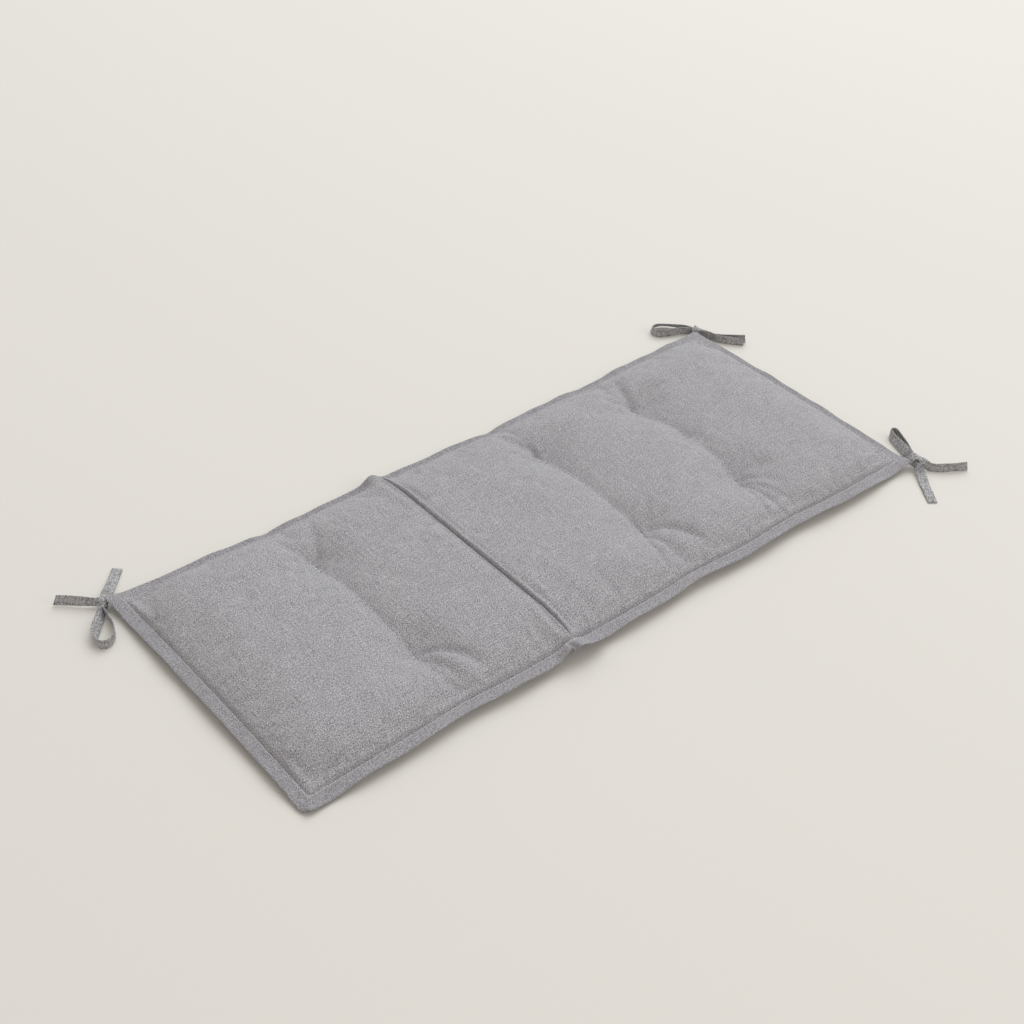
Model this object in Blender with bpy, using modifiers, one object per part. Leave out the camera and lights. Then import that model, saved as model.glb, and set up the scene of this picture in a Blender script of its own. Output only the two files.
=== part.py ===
"""Garden chair cushion for a high-backed chair, lying on its back.

One filled pad with a stitched flange round it, a sewn fold line between the seat section and the back section,
six pulled-in tacks in three rows, and a self-fabric tie in a half bow at three of its corners.

Metres, +Z up. X runs along the cushion from the seat's end to the back's end, Y across it. The origin is on the
surface that the cushion lies on, under its middle.
"""

import math

import bmesh
import bpy
from mathutils import Vector

# The cushion's cut size
LENGTH = 1.200
WIDTH = 0.500
CORNER_ROUND = 0.016

# The flange: the two panels stitched together outside the filling
FLANGE_WIDTH = 0.020
FLANGE_THICKNESS = 0.0030
FLANGE_HEIGHT_SIDE = 0.0110
FLANGE_HEIGHT_END = 0.0145
FLANGE_HEIGHT_CORNER = 0.0065
FLANGE_DROOP_REACH = 0.100

# The filling: how high it stands and how far in its shoulders reach
CROWN_HEIGHT = 0.0460
SHOULDER_TOP = 0.075
SHOULDER_UNDER = 0.034
SHOULDER_POWER = 2.3
FOOT_FILLET = 0.0035

# The tacks: six points, in rows across the cushion, where top and underside are pulled together
TACK_SIDE = 0.117
TACK_TOP_HEIGHT = 0.0170
TACK_REACH = 0.030
TACK_PIT_REACH = 0.0165
TACK_UNDER_DIMPLE = 0.0070
TACK_UNDER_REACH = 0.024
SIDE_HOLLOW = 0.0065
SIDE_HOLLOW_REACH = 0.280
SIDE_PULL = 0.0050
SIDE_PULL_REACH = 0.055

# The rows: where each lies along X, how deep its valley is between and outside the tacks, and how far
# the valley bows towards the back's end
ROWS = (
    {"x": -0.329, "between": 0.0125, "outside": 0.0070, "bow": 0.008},
    {"x": 0.108, "between": 0.0125, "outside": 0.0070, "bow": 0.007},
    {"x": 0.319, "between": 0.0125, "outside": 0.0070, "bow": 0.020},
)
VALLEY_REACH = 0.030
VALLEY_ROUND = 0.008

# The fold line: sewn through, straight across, with the flange pinched up at its ends
FOLD_X = -0.129
FOLD_TOP_HEIGHT = 0.0260
FOLD_TOP_REACH = 0.0055
FOLD_UNDER_HEIGHT = 0.0170
FOLD_UNDER_REACH = 0.0080
FOLD_PINCH_RISE = 0.0110
FOLD_PINCH_REACH = 0.019
FOLD_PINCH_SHIFT = -0.005

# Pull folds that run from a tack to the nearest long side: where each starts (row and side), the way it
# runs, how long it is, and how far it stands up (ridge) or sinks (negative)
PULL_FOLDS = (
    {"row": 0, "side": -1, "heading": -66, "length": 0.112, "lift": -0.0060, "half_width": 0.009},
    {"row": 0, "side": -1, "heading": -42, "length": 0.090, "lift": 0.0025, "half_width": 0.012},
    {"row": 0, "side": 1, "heading": 56, "length": 0.085, "lift": -0.0050, "half_width": 0.010},
    {"row": 0, "side": 1, "heading": 109, "length": 0.090, "lift": -0.0035, "half_width": 0.010},
    {"row": 1, "side": -1, "heading": -64, "length": 0.105, "lift": -0.0045, "half_width": 0.009},
    {"row": 1, "side": -1, "heading": -98, "length": 0.095, "lift": -0.0035, "half_width": 0.010},
    {"row": 1, "side": 1, "heading": 104, "length": 0.095, "lift": -0.0045, "half_width": 0.010},
    {"row": 2, "side": -1, "heading": -68, "length": 0.085, "lift": -0.0040, "half_width": 0.009},
    {"row": 2, "side": -1, "heading": -94, "length": 0.110, "lift": -0.0035, "half_width": 0.010},
    {"row": 2, "side": 1, "heading": 84, "length": 0.095, "lift": -0.0045, "half_width": 0.010},
)

# How sharply a pull fold swells, and its breadth at its start and at its end as shares of half_width
PULL_SWELL = 0.8
PULL_BREADTH_START = 0.55
PULL_BREADTH_END = 1.45

# Where the mesh has its lines: offsets from an edge, a row or tack, and the fold line, and the widest step
EDGE_OFFSETS = (0.0, 0.008, FLANGE_WIDTH, 0.0225, 0.027, 0.035, 0.047, 0.064, 0.086)
TACK_OFFSETS = (0.0, 0.007, 0.016, 0.030)
FOLD_OFFSETS = (0.0, 0.003, 0.008, 0.018, 0.034)
WIDEST_STEP = 0.030
NARROWEST_STEP = 0.0020
CUT_TOLERANCE = 1e-6

# The ties: flat self-fabric tape
TAPE_WIDTH = 0.015
TAPE_THICKNESS = 0.0020
TAPE_STEP = 0.0045
CURVE_PARTS = 16
KNOT_SIZE = (0.0150, 0.0120, 0.0165)
KNOT_FULLNESS = 1.25
ROOT_WIDTH = 0.0090
ROOT_GAP = 0.0005
ROOT_STRAIGHT = 0.0040
ROOT_LEANS = (90, 85, 60)

# Each tie: its knot, and the middle line of its loop and of its two ends. A point's columns are X, Y, Z and
# lean, the degrees by which the tape leans over from standing on its edge (90 is flat).
TIES = {
    "tie_left": {
        "corner": (-LENGTH / 2, WIDTH / 2),
        "knot": (-0.6115, 0.2480, 0.0100),
        "knot_turn": 60,
        "loop": (
            (-0.6140, 0.2450, 0.0100, 10),
            (-0.6220, 0.2290, 0.0098, 30),
            (-0.6370, 0.2120, 0.0095, 40),
            (-0.6495, 0.1940, 0.0090, 25),
            (-0.6510, 0.1775, 0.0088, 0),
            (-0.6400, 0.1715, 0.0088, 0),
            (-0.6270, 0.1800, 0.0088, 0),
            (-0.6185, 0.1960, 0.0090, 0),
            (-0.6150, 0.2150, 0.0095, 0),
            (-0.6095, 0.2450, 0.0100, 0),
        ),
        "ends": (
            (
                (-0.6115, 0.2490, 0.0105, 10),
                (-0.6250, 0.2660, 0.0100, 10),
                (-0.6410, 0.2820, 0.0095, 12),
                (-0.6580, 0.2965, 0.0090, 12),
            ),
            (
                (-0.6100, 0.2500, 0.0110, 60),
                (-0.5935, 0.2640, 0.0085, 80),
                (-0.5750, 0.2830, 0.0050, 85),
                (-0.5500, 0.3100, 0.0030, 88),
            ),
        ),
    },
    "tie_top": {
        "corner": (LENGTH / 2, WIDTH / 2),
        "knot": (0.6070, 0.2570, 0.0100),
        "knot_turn": -45,
        "loop": (
            (0.6075, 0.2600, 0.0100, 0),
            (0.5930, 0.2760, 0.0092, 0),
            (0.5800, 0.2930, 0.0088, 0),
            (0.5650, 0.3060, 0.0088, 0),
            (0.5490, 0.3090, 0.0088, 0),
            (0.5390, 0.3000, 0.0088, 0),
            (0.5430, 0.2870, 0.0088, 0),
            (0.5600, 0.2770, 0.0090, 0),
            (0.5800, 0.2690, 0.0095, 0),
            (0.6035, 0.2560, 0.0100, 0),
        ),
        "ends": (
            (
                (0.6085, 0.2560, 0.0105, 0),
                (0.6180, 0.2330, 0.0110, 4),
                (0.6300, 0.2100, 0.0100, 8),
                (0.6570, 0.1790, 0.0095, 12),
            ),
            (
                (0.6070, 0.2540, 0.0100, 0),
                (0.6095, 0.2340, 0.0090, 0),
                (0.6200, 0.2060, 0.0086, 0),
                (0.6480, 0.1740, 0.0086, 0),
            ),
        ),
    },
    "tie_right": {
        "corner": (LENGTH / 2, -WIDTH / 2),
        "knot": (0.6120, -0.2560, 0.0105),
        "knot_turn": 30,
        "loop": (
            (0.6095, -0.2520, 0.0105, 20),
            (0.6210, -0.2300, 0.0110, 40),
            (0.6290, -0.2050, 0.0105, 45),
            (0.6360, -0.1830, 0.0095, 30),
            (0.6470, -0.1720, 0.0090, 0),
            (0.6560, -0.1800, 0.0090, 0),
            (0.6510, -0.1990, 0.0095, 15),
            (0.6370, -0.2250, 0.0100, 20),
            (0.6145, -0.2530, 0.0105, 20),
        ),
        "ends": (
            (
                (0.6130, -0.2570, 0.0105, 0),
                (0.6270, -0.2750, 0.0100, 8),
                (0.6470, -0.2920, 0.0092, 10),
                (0.6710, -0.3090, 0.0090, 12),
            ),
            (
                (0.6110, -0.2580, 0.0100, 60),
                (0.5960, -0.2720, 0.0075, 80),
                (0.5790, -0.2950, 0.0040, 86),
                (0.5540, -0.3310, 0.0025, 88),
            ),
        ),
    },
}

# Melange cloth, and the slightly greener tape
CLOTH_COLOUR = (0.330, 0.322, 0.336, 1.0)
TAPE_COLOUR = (0.270, 0.272, 0.270, 1.0)
CLOTH_ROUGHNESS = 0.92


def bell(distance, reach):
    """A soft hump of height 1 at distance 0, nearly gone at twice its reach."""
    return math.exp(-(distance / reach) ** 2)


def pinch(distance, reach):
    """Like bell, but with a sharp point, as cloth makes where a thread pulls it in."""
    return math.exp(-abs(distance) / reach)


def crease(distance, reach):
    """A valley's section: nearly straight flanks that meet in a slightly rounded line."""
    return math.exp(-(math.hypot(distance, VALLEY_ROUND) - VALLEY_ROUND) / reach)


def smooth(low, high, value):
    """0 below low, 1 above high, with a soft rise between."""
    t = min(max((value - low) / (high - low), 0.0), 1.0)
    return t * t * (3.0 - 2.0 * t)


def shoulder(inset, reach):
    """How far the filling has risen, 0 to 1, at a distance inside the flange."""
    t = min(max(inset / reach, 0.0), 1.0)
    return (1.0 - (1.0 - t) ** SHOULDER_POWER) ** (1.0 / SHOULDER_POWER)


def tacks():
    """Each tack's row number, side and place."""
    for number, row in enumerate(ROWS):
        for side in (-1, 1):
            yield number, side, (row["x"], side * TACK_SIDE)


def plan_place(u, v):
    """Where a point of the flat rectangle lies in plan, with round corners and drawn-in long sides."""
    x, y = u, v
    past_x = abs(u) - (LENGTH / 2 - CORNER_ROUND)
    past_y = abs(v) - (WIDTH / 2 - CORNER_ROUND)
    if past_x > 0 and past_y > 0:
        a, b = past_x / CORNER_ROUND, past_y / CORNER_ROUND
        x = math.copysign(LENGTH / 2 - CORNER_ROUND * (1 - a * math.sqrt(1 - b * b / 2)), u)
        y = math.copysign(WIDTH / 2 - CORNER_ROUND * (1 - b * math.sqrt(1 - a * a / 2)), v)
    pull = SIDE_HOLLOW * (1.0 - bell(LENGTH / 2 - abs(u), SIDE_HOLLOW_REACH))
    pull += SIDE_PULL * sum(bell(u - row["x"], SIDE_PULL_REACH) for row in ROWS)
    y -= math.copysign(pull * (abs(v) / (WIDTH / 2)) ** 3, v)
    return x, y


def flange_height(u, v):
    """The flange's middle height: it droops at the corners and is pinched up at the fold line's ends."""
    to_end, to_side = LENGTH / 2 - abs(u), WIDTH / 2 - abs(v)
    at_end = to_side / (to_end + to_side) if to_end + to_side > 0.0 else 0.5
    level = FLANGE_HEIGHT_SIDE + (FLANGE_HEIGHT_END - FLANGE_HEIGHT_SIDE) * at_end
    droop = bell(math.hypot(to_end, to_side), FLANGE_DROOP_REACH)
    height = level + (FLANGE_HEIGHT_CORNER - level) * droop
    return height + FOLD_PINCH_RISE * bell(u - FOLD_X - FOLD_PINCH_SHIFT, FOLD_PINCH_REACH)


def valley_depth(u, v):
    """How far the rows' valleys and the tacks sink the top."""
    depth = 0.0
    for row in ROWS:
        across = v / TACK_SIDE
        if abs(across) < 1.0:
            middle = row["x"] + row["bow"] * (1.0 - across * across)
            row_depth = row["between"]
        else:
            middle = row["x"]
            row_depth = row["outside"] + (row["between"] - row["outside"]) * bell(abs(v) - TACK_SIDE, TACK_REACH)
        depth += row_depth * crease(u - middle, VALLEY_REACH)
    pit = CROWN_HEIGHT - TACK_TOP_HEIGHT
    for number, _, (x, y) in tacks():
        rest = pit - ROWS[number]["between"]
        depth += rest * pinch(math.hypot(u - x, v - y), TACK_PIT_REACH)
    return depth


def fold_lift(u, v):
    """The pull folds: soft ridges and troughs that leave a tack on a slant and die out."""
    lift = 0.0
    for fold in PULL_FOLDS:
        x, y = ROWS[fold["row"]]["x"], fold["side"] * TACK_SIDE
        heading = math.radians(fold["heading"])
        along = (u - x) * math.cos(heading) + (v - y) * math.sin(heading)
        aside = -(u - x) * math.sin(heading) + (v - y) * math.cos(heading)
        if 0.0 < along < fold["length"]:
            share = along / fold["length"]
            swell = math.sin(math.pi * share) ** PULL_SWELL
            spread = fold["half_width"] * (PULL_BREADTH_START + (PULL_BREADTH_END - PULL_BREADTH_START) * share)
            lift += fold["lift"] * swell * bell(aside, spread)
    return lift


def top_height(u, v):
    """The upper panel's height at a point of the flat rectangle."""
    inset = min(LENGTH / 2 - abs(u), WIDTH / 2 - abs(v)) - FLANGE_WIDTH
    foot = flange_height(u, v) + FLANGE_THICKNESS / 2
    if inset <= 0.0:
        return foot
    crown = CROWN_HEIGHT - valley_depth(u, v) + fold_lift(u, v)
    sewn = FOLD_TOP_HEIGHT - crown
    crown += sewn * pinch(u - FOLD_X, FOLD_TOP_REACH)
    across_x = shoulder(LENGTH / 2 - abs(u) - FLANGE_WIDTH, SHOULDER_TOP)
    across_y = shoulder(WIDTH / 2 - abs(v) - FLANGE_WIDTH, SHOULDER_TOP)
    return foot + (crown - foot) * across_x * across_y


def under_height(u, v):
    """The lower panel's height: flat on the surface, rising to the flange, dimpled at the tacks."""
    inset = min(LENGTH / 2 - abs(u), WIDTH / 2 - abs(v)) - FLANGE_WIDTH
    foot = flange_height(u, v) - FLANGE_THICKNESS / 2
    if inset <= 0.0:
        return foot
    rise = FOLD_UNDER_HEIGHT * pinch(u - FOLD_X, FOLD_UNDER_REACH)
    rise += TACK_UNDER_DIMPLE * sum(bell(math.hypot(u - x, v - y), TACK_UNDER_REACH) for _, _, (x, y) in tacks())
    rise *= smooth(0.0, 1.0, rise / FOOT_FILLET)
    across_x = shoulder(LENGTH / 2 - abs(u) - FLANGE_WIDTH, SHOULDER_UNDER)
    across_y = shoulder(WIDTH / 2 - abs(v) - FLANGE_WIDTH, SHOULDER_UNDER)
    return rise + (foot - rise) * (1.0 - across_x * across_y)


def stations(half, features):
    """The mesh's lines along one axis: each feature's own offsets, then even steps in the wide gaps."""
    marks = [sign * (half - offset) for sign in (-1, 1) for offset in EDGE_OFFSETS]
    for place, offsets in features:
        marks += [place + sign * offset for sign in (-1, 1) for offset in offsets]
    marks.sort()
    kept = [marks[0]]
    for mark in marks[1:]:
        if mark - kept[-1] >= NARROWEST_STEP:
            kept.append(mark)
    filled = [kept[0]]
    for mark in kept[1:]:
        gap = mark - filled[-1]
        steps = max(1, math.ceil(gap / WIDEST_STEP))
        start = filled[-1]
        filled += [start + gap * step / steps for step in range(1, steps + 1)]
    return filled


def cloth_material(name, colour):
    """A plain woven cloth of one colour."""
    material = bpy.data.materials.new(name)
    material.use_nodes = True
    shader = material.node_tree.nodes["Principled BSDF"]
    shader.inputs["Base Color"].default_value = colour
    shader.inputs["Roughness"].default_value = CLOTH_ROUGHNESS
    shader.inputs["Metallic"].default_value = 0.0
    return material


def new_object(name, mesh, collection, material):
    """A named object in the collection, with its material."""
    obj = bpy.data.objects.new(name, mesh)
    obj.data.materials.append(material)
    collection.objects.link(obj)
    return obj


def build_cushion(collection):
    """The filled pad: a flat box cut along the mesh's lines, whose points then take the sewn form."""
    bm = bmesh.new()
    bmesh.ops.create_cube(bm, size=1.0)
    for vert in bm.verts:
        vert.co = Vector((vert.co.x * LENGTH, vert.co.y * WIDTH, vert.co.z))
    along = stations(LENGTH / 2, [(row["x"], TACK_OFFSETS) for row in ROWS] + [(FOLD_X, FOLD_OFFSETS)])
    across = stations(WIDTH / 2, [(side * TACK_SIDE, TACK_OFFSETS) for side in (-1, 1)])
    for place in along[1:-1]:
        cut_across(bm, Vector((place, 0.0, 0.0)), Vector((1.0, 0.0, 0.0)))
    for place in across[1:-1]:
        cut_across(bm, Vector((0.0, place, 0.0)), Vector((0.0, 1.0, 0.0)))
    for vert in bm.verts:
        u, v, side = vert.co
        x, y = plan_place(u, v)
        z = top_height(u, v) if side > 0 else under_height(u, v)
        vert.co = Vector((x, y, z))
    bmesh.ops.triangulate(bm, faces=bm.faces, quad_method="SHORT_EDGE")
    bmesh.ops.recalc_face_normals(bm, faces=bm.faces)
    mesh = bpy.data.meshes.new("cushion")
    bm.to_mesh(mesh)
    bm.free()
    mesh.shade_smooth()
    return new_object("cushion", mesh, collection, cloth_material("melange_cloth", CLOTH_COLOUR))


def cut_across(bm, point, normal):
    """Cuts every face that a plane meets, and keeps both halves."""
    geometry = list(bm.verts) + list(bm.edges) + list(bm.faces)
    bmesh.ops.bisect_plane(bm, geom=geometry, dist=CUT_TOLERANCE, plane_co=point, plane_no=normal)


def curve_through(points):
    """Even steps along a smooth curve through the points, each with its place and its lean."""
    ends = [points[0]] + list(points) + [points[-1]]
    fine = []
    for i in range(1, len(ends) - 2):
        before, start, end, after = (Vector(p[:3]) for p in ends[i - 1:i + 3])
        for part in range(CURVE_PARTS):
            t = part / CURVE_PARTS
            place = 0.5 * (
                2 * start
                + (end - before) * t
                + (2 * before - 5 * start + 4 * end - after) * t * t
                + (3 * start - before - 3 * end + after) * t ** 3
            )
            lean = ends[i][3] + (ends[i + 1][3] - ends[i][3]) * t
            fine.append((place, lean))
    fine.append((Vector(points[-1][:3]), points[-1][3]))
    lengths = [0.0]
    for (a, _), (b, _) in zip(fine, fine[1:]):
        lengths.append(lengths[-1] + (b - a).length)
    count = max(2, round(lengths[-1] / TAPE_STEP))
    samples = []
    at = 0
    for step in range(count + 1):
        want = lengths[-1] * step / count
        while at < len(lengths) - 2 and lengths[at + 1] < want:
            at += 1
        span = lengths[at + 1] - lengths[at]
        share = (want - lengths[at]) / span if span else 0.0
        place = fine[at][0].lerp(fine[at + 1][0], share)
        samples.append((place, fine[at][1] + (fine[at + 1][1] - fine[at][1]) * share))
    return samples


def tape_object(name, points, width, collection, material):
    """A length of flat tape along the points: one edge drawn along the curve, then given its thickness."""
    samples = curve_through(points)
    bm = bmesh.new()
    edge = None
    for i, (place, lean) in enumerate(samples):
        ahead = samples[min(i + 1, len(samples) - 1)][0] - samples[max(i - 1, 0)][0]
        level = Vector((0.0, 0.0, 1.0)).cross(ahead).normalized()
        upright = ahead.cross(level).normalized()
        angle = math.radians(lean)
        half = (upright * math.cos(angle) + level * math.sin(angle)) * (width / 2)
        if edge is None:
            low, high = bm.verts.new(place - half), bm.verts.new(place + half)
            edge = bm.edges.new((low, high))
        else:
            grown = bmesh.ops.extrude_edge_only(bm, edges=[edge])["geom"]
            edge = next(part for part in grown if isinstance(part, bmesh.types.BMEdge))
            low, high = sorted(edge.verts, key=lambda vert: (vert.co - low.co).length)
            low.co, high.co = place - half, place + half
    mesh = bpy.data.meshes.new(name)
    bm.to_mesh(mesh)
    bm.free()
    obj = new_object(name, mesh, collection, material)
    thick = obj.modifiers.new("Thickness", "SOLIDIFY")
    thick.thickness = TAPE_THICKNESS
    thick.offset = 0.0
    return obj


def knot_object(name, spec, collection, material):
    """The knot: a small rounded lump that the tape's turns make."""
    bm = bmesh.new()
    bmesh.ops.create_cube(bm, size=1.0)
    for vert in bm.verts:
        vert.co = Vector(tuple(c * size * KNOT_FULLNESS for c, size in zip(vert.co, KNOT_SIZE)))
    mesh = bpy.data.meshes.new(name)
    bm.to_mesh(mesh)
    bm.free()
    mesh.shade_smooth()
    obj = new_object(name, mesh, collection, material)
    obj.location = spec["knot"]
    obj.rotation_euler = (0.0, 0.0, math.radians(spec["knot_turn"]))
    rounding = obj.modifiers.new("Rounding", "SUBSURF")
    rounding.levels = 2
    rounding.render_levels = 2
    return obj


def root_points(corner, knot):
    """The short flat length of tape that leaves the flange's round corner, straight out, for the knot."""
    inward = CORNER_ROUND * (1.0 - math.sqrt(0.5))
    out = Vector((math.copysign(1.0, corner[0]), math.copysign(1.0, corner[1]), 0.0))
    tip = Vector((*corner, FLANGE_HEIGHT_CORNER)) - out * inward
    start = tip + out.normalized() * ROOT_GAP
    clear = tip + out.normalized() * ROOT_STRAIGHT
    return tuple((*place, lean) for place, lean in zip((start, clear, knot), ROOT_LEANS))


def build_tie(name, spec, collection, pieces, material):
    """One tie: its knot, joined with its root, its loop and its two free ends into one solid."""
    tie = knot_object(name, spec, collection, material)
    runs = {"root": root_points(spec["corner"], spec["knot"]), "loop": spec["loop"]}
    for number, points in enumerate(spec["ends"], start=1):
        runs[f"end_{number}"] = points
    for part, points in runs.items():
        width = ROOT_WIDTH if part == "root" else TAPE_WIDTH
        tape = tape_object(f"{name}_{part}", points, width, pieces, material)
        tape.hide_render = True
        tape.display_type = "WIRE"
        join = tie.modifiers.new(f"Join {part}", "BOOLEAN")
        join.operation = "UNION"
        join.solver = "MANIFOLD"
        join.object = tape
    return tie


def main():
    """Clears the scene and builds the cushion and its ties."""
    for obj in list(bpy.data.objects):
        bpy.data.objects.remove(obj, do_unlink=True)
    collection = bpy.data.collections.new("garden_chair_cushion")
    pieces = bpy.data.collections.new("tie_pieces")
    for made in (collection, pieces):
        bpy.context.scene.collection.children.link(made)
    build_cushion(collection)
    tape_cloth = cloth_material("tie_cloth", TAPE_COLOUR)
    for name, spec in TIES.items():
        build_tie(name, spec, collection, pieces, tape_cloth)


main()
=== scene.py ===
"""High-backed garden chair cushion in grey melange cloth, lying on its back on a pale floor.

The pad is one closed cloth form: two panels sewn together round a flat flange, filled, sewn through once as a
fold line, and pulled in by six tacks. Its top panel is swelled by a cloth simulation. Each of three corners has
a flat tie of the same cloth in a half bow, made of two strands.

Metres, +Z up. X runs along the pad from the seat's end to the back's end, Y across it.
"""

from __future__ import annotations

import logging
import math
from collections.abc import Iterator
from dataclasses import dataclass, replace
from enum import Enum

import bmesh
import bpy
import numpy as np
from mathutils import Matrix, Vector


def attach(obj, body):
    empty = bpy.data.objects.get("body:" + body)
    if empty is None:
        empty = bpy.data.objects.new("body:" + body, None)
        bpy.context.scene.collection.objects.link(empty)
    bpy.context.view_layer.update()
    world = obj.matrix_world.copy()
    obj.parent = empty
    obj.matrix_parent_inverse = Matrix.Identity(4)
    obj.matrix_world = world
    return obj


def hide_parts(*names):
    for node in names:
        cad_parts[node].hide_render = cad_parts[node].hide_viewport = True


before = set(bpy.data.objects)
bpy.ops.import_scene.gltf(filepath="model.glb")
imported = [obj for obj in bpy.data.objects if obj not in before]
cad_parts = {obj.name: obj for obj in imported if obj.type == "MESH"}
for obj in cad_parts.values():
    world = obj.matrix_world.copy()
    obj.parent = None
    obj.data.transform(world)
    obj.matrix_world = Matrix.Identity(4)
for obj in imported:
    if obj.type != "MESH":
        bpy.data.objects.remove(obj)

LOG = logging.getLogger("garden_chair_cushion")
Grid = np.ndarray
Colour = tuple[float, float, float, float]


class Corner(Enum):
    """The corners of the pad that have a tie, by where the picture shows them."""

    LEFT = "left"
    TOP = "top"
    RIGHT = "right"


class Panel(Enum):
    """The two cloth panels of the pad."""

    TOP = "top"
    UNDER = "under"


def bell(distance: Grid, reach: float) -> Grid:
    """A soft hump of height 1 at distance 0, nearly gone at twice its reach."""
    return np.exp(-((distance / reach) ** 2))


def pinch(distance: Grid, reach: float) -> Grid:
    """Like bell, but with a sharp point, as cloth makes where a thread pulls it in."""
    return np.exp(-np.abs(distance) / reach)


def smooth(low: float, high: float, value: Grid) -> Grid:
    """0 below low, 1 above high, with a soft rise between."""
    share = np.clip((value - low) / (high - low), 0.0, 1.0)
    return share * share * (3.0 - 2.0 * share)


def superellipse(share: Grid, power: float) -> Grid:
    """A rise from 0 to 1 that starts steep and ends level."""
    share = np.clip(share, 0.0, 1.0)
    return (1.0 - (1.0 - share) ** power) ** (1.0 / power)


@dataclass(frozen=True)
class Ripple:
    """Soft unevenness made of many crossing waves, the same each time.

    Attributes:
        seed: which pattern of waves.
        shortest: shortest wavelength in metres.
        longest: longest wavelength in metres.
        waves: how many waves are added up.
    """

    seed: int
    shortest: float
    longest: float
    waves: int = 26

    def at(self, u: Grid, v: Grid) -> Grid:
        """The unevenness at points of a plane.

        Args:
            u: first coordinates, in metres.
            v: second coordinates, in metres.

        Returns:
            A value near the range -1 to 1 at each point.
        """
        rng = np.random.default_rng(self.seed)
        total = np.zeros(np.broadcast(u, v).shape)
        for _ in range(self.waves):
            length = rng.uniform(self.shortest, self.longest)
            heading = rng.uniform(0.0, math.pi)
            shift = rng.uniform(0.0, math.tau)
            along = u * math.cos(heading) + v * math.sin(heading)
            total += np.sin(math.tau * along / length + shift)
        return total / math.sqrt(self.waves)

    def along(self, s: Grid) -> Grid:
        """The unevenness along a line.

        Args:
            s: places along the line, in metres.

        Returns:
            A value near the range -1 to 1 at each place.
        """
        rng = np.random.default_rng(self.seed)
        total = np.zeros(np.shape(s))
        for _ in range(self.waves):
            length = rng.uniform(self.shortest, self.longest)
            total += np.sin(math.tau * s / length + rng.uniform(0.0, math.tau))
        return total / math.sqrt(self.waves)


@dataclass(frozen=True)
class Row:
    """A row of two tacks across the pad, and the valley through them.

    Attributes:
        x: where the row lies along the pad.
        between: the valley's depth between the tacks.
        outside: its depth between a tack and the long side.
        bow: how far its middle bows towards the back's end.
    """

    x: float
    between: float
    outside: float
    bow: float


@dataclass(frozen=True)
class Fold:
    """A soft fold in the top panel, along an arc.

    Attributes:
        x: where the arc starts along the pad.
        y: where it starts across the pad.
        heading: the way that it leaves, in degrees from +X.
        bend: how far it turns over its length, in degrees.
        length: its length.
        lift: how far it stands up, or sinks where negative.
        half_width: its half width at its middle.
    """

    x: float
    y: float
    heading: float
    bend: float
    length: float
    lift: float
    half_width: float

    def rise(self, u: Grid, v: Grid) -> Grid:
        """The fold's height at points of the pad.

        Args:
            u: the points' places along the pad.
            v: their places across it.

        Returns:
            The height that the fold adds at each point.
        """
        heading = math.radians(self.heading)
        bend = math.radians(self.bend)
        if abs(bend) < 0.02:
            along = (u - self.x) * math.cos(heading) + (v - self.y) * math.sin(heading)
            aside = -(u - self.x) * math.sin(heading) + (v - self.y) * math.cos(heading)
        else:
            radius = self.length / bend
            from_x = u - (self.x - radius * math.sin(heading))
            from_y = v - (self.y + radius * math.cos(heading))
            turned = np.arctan2(from_y, from_x) - (heading - math.copysign(math.pi / 2, bend))
            turned = (turned + math.pi) % math.tau - math.pi
            along = radius * turned
            aside = (np.hypot(from_x, from_y) - abs(radius)) * -math.copysign(1.0, bend)
        share = np.clip(along / self.length, 0.0, 1.0)
        swell = np.sin(math.pi * share) ** 0.8
        spread = self.half_width * (0.5 + share)
        return self.lift * swell * bell(aside, spread)


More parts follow.
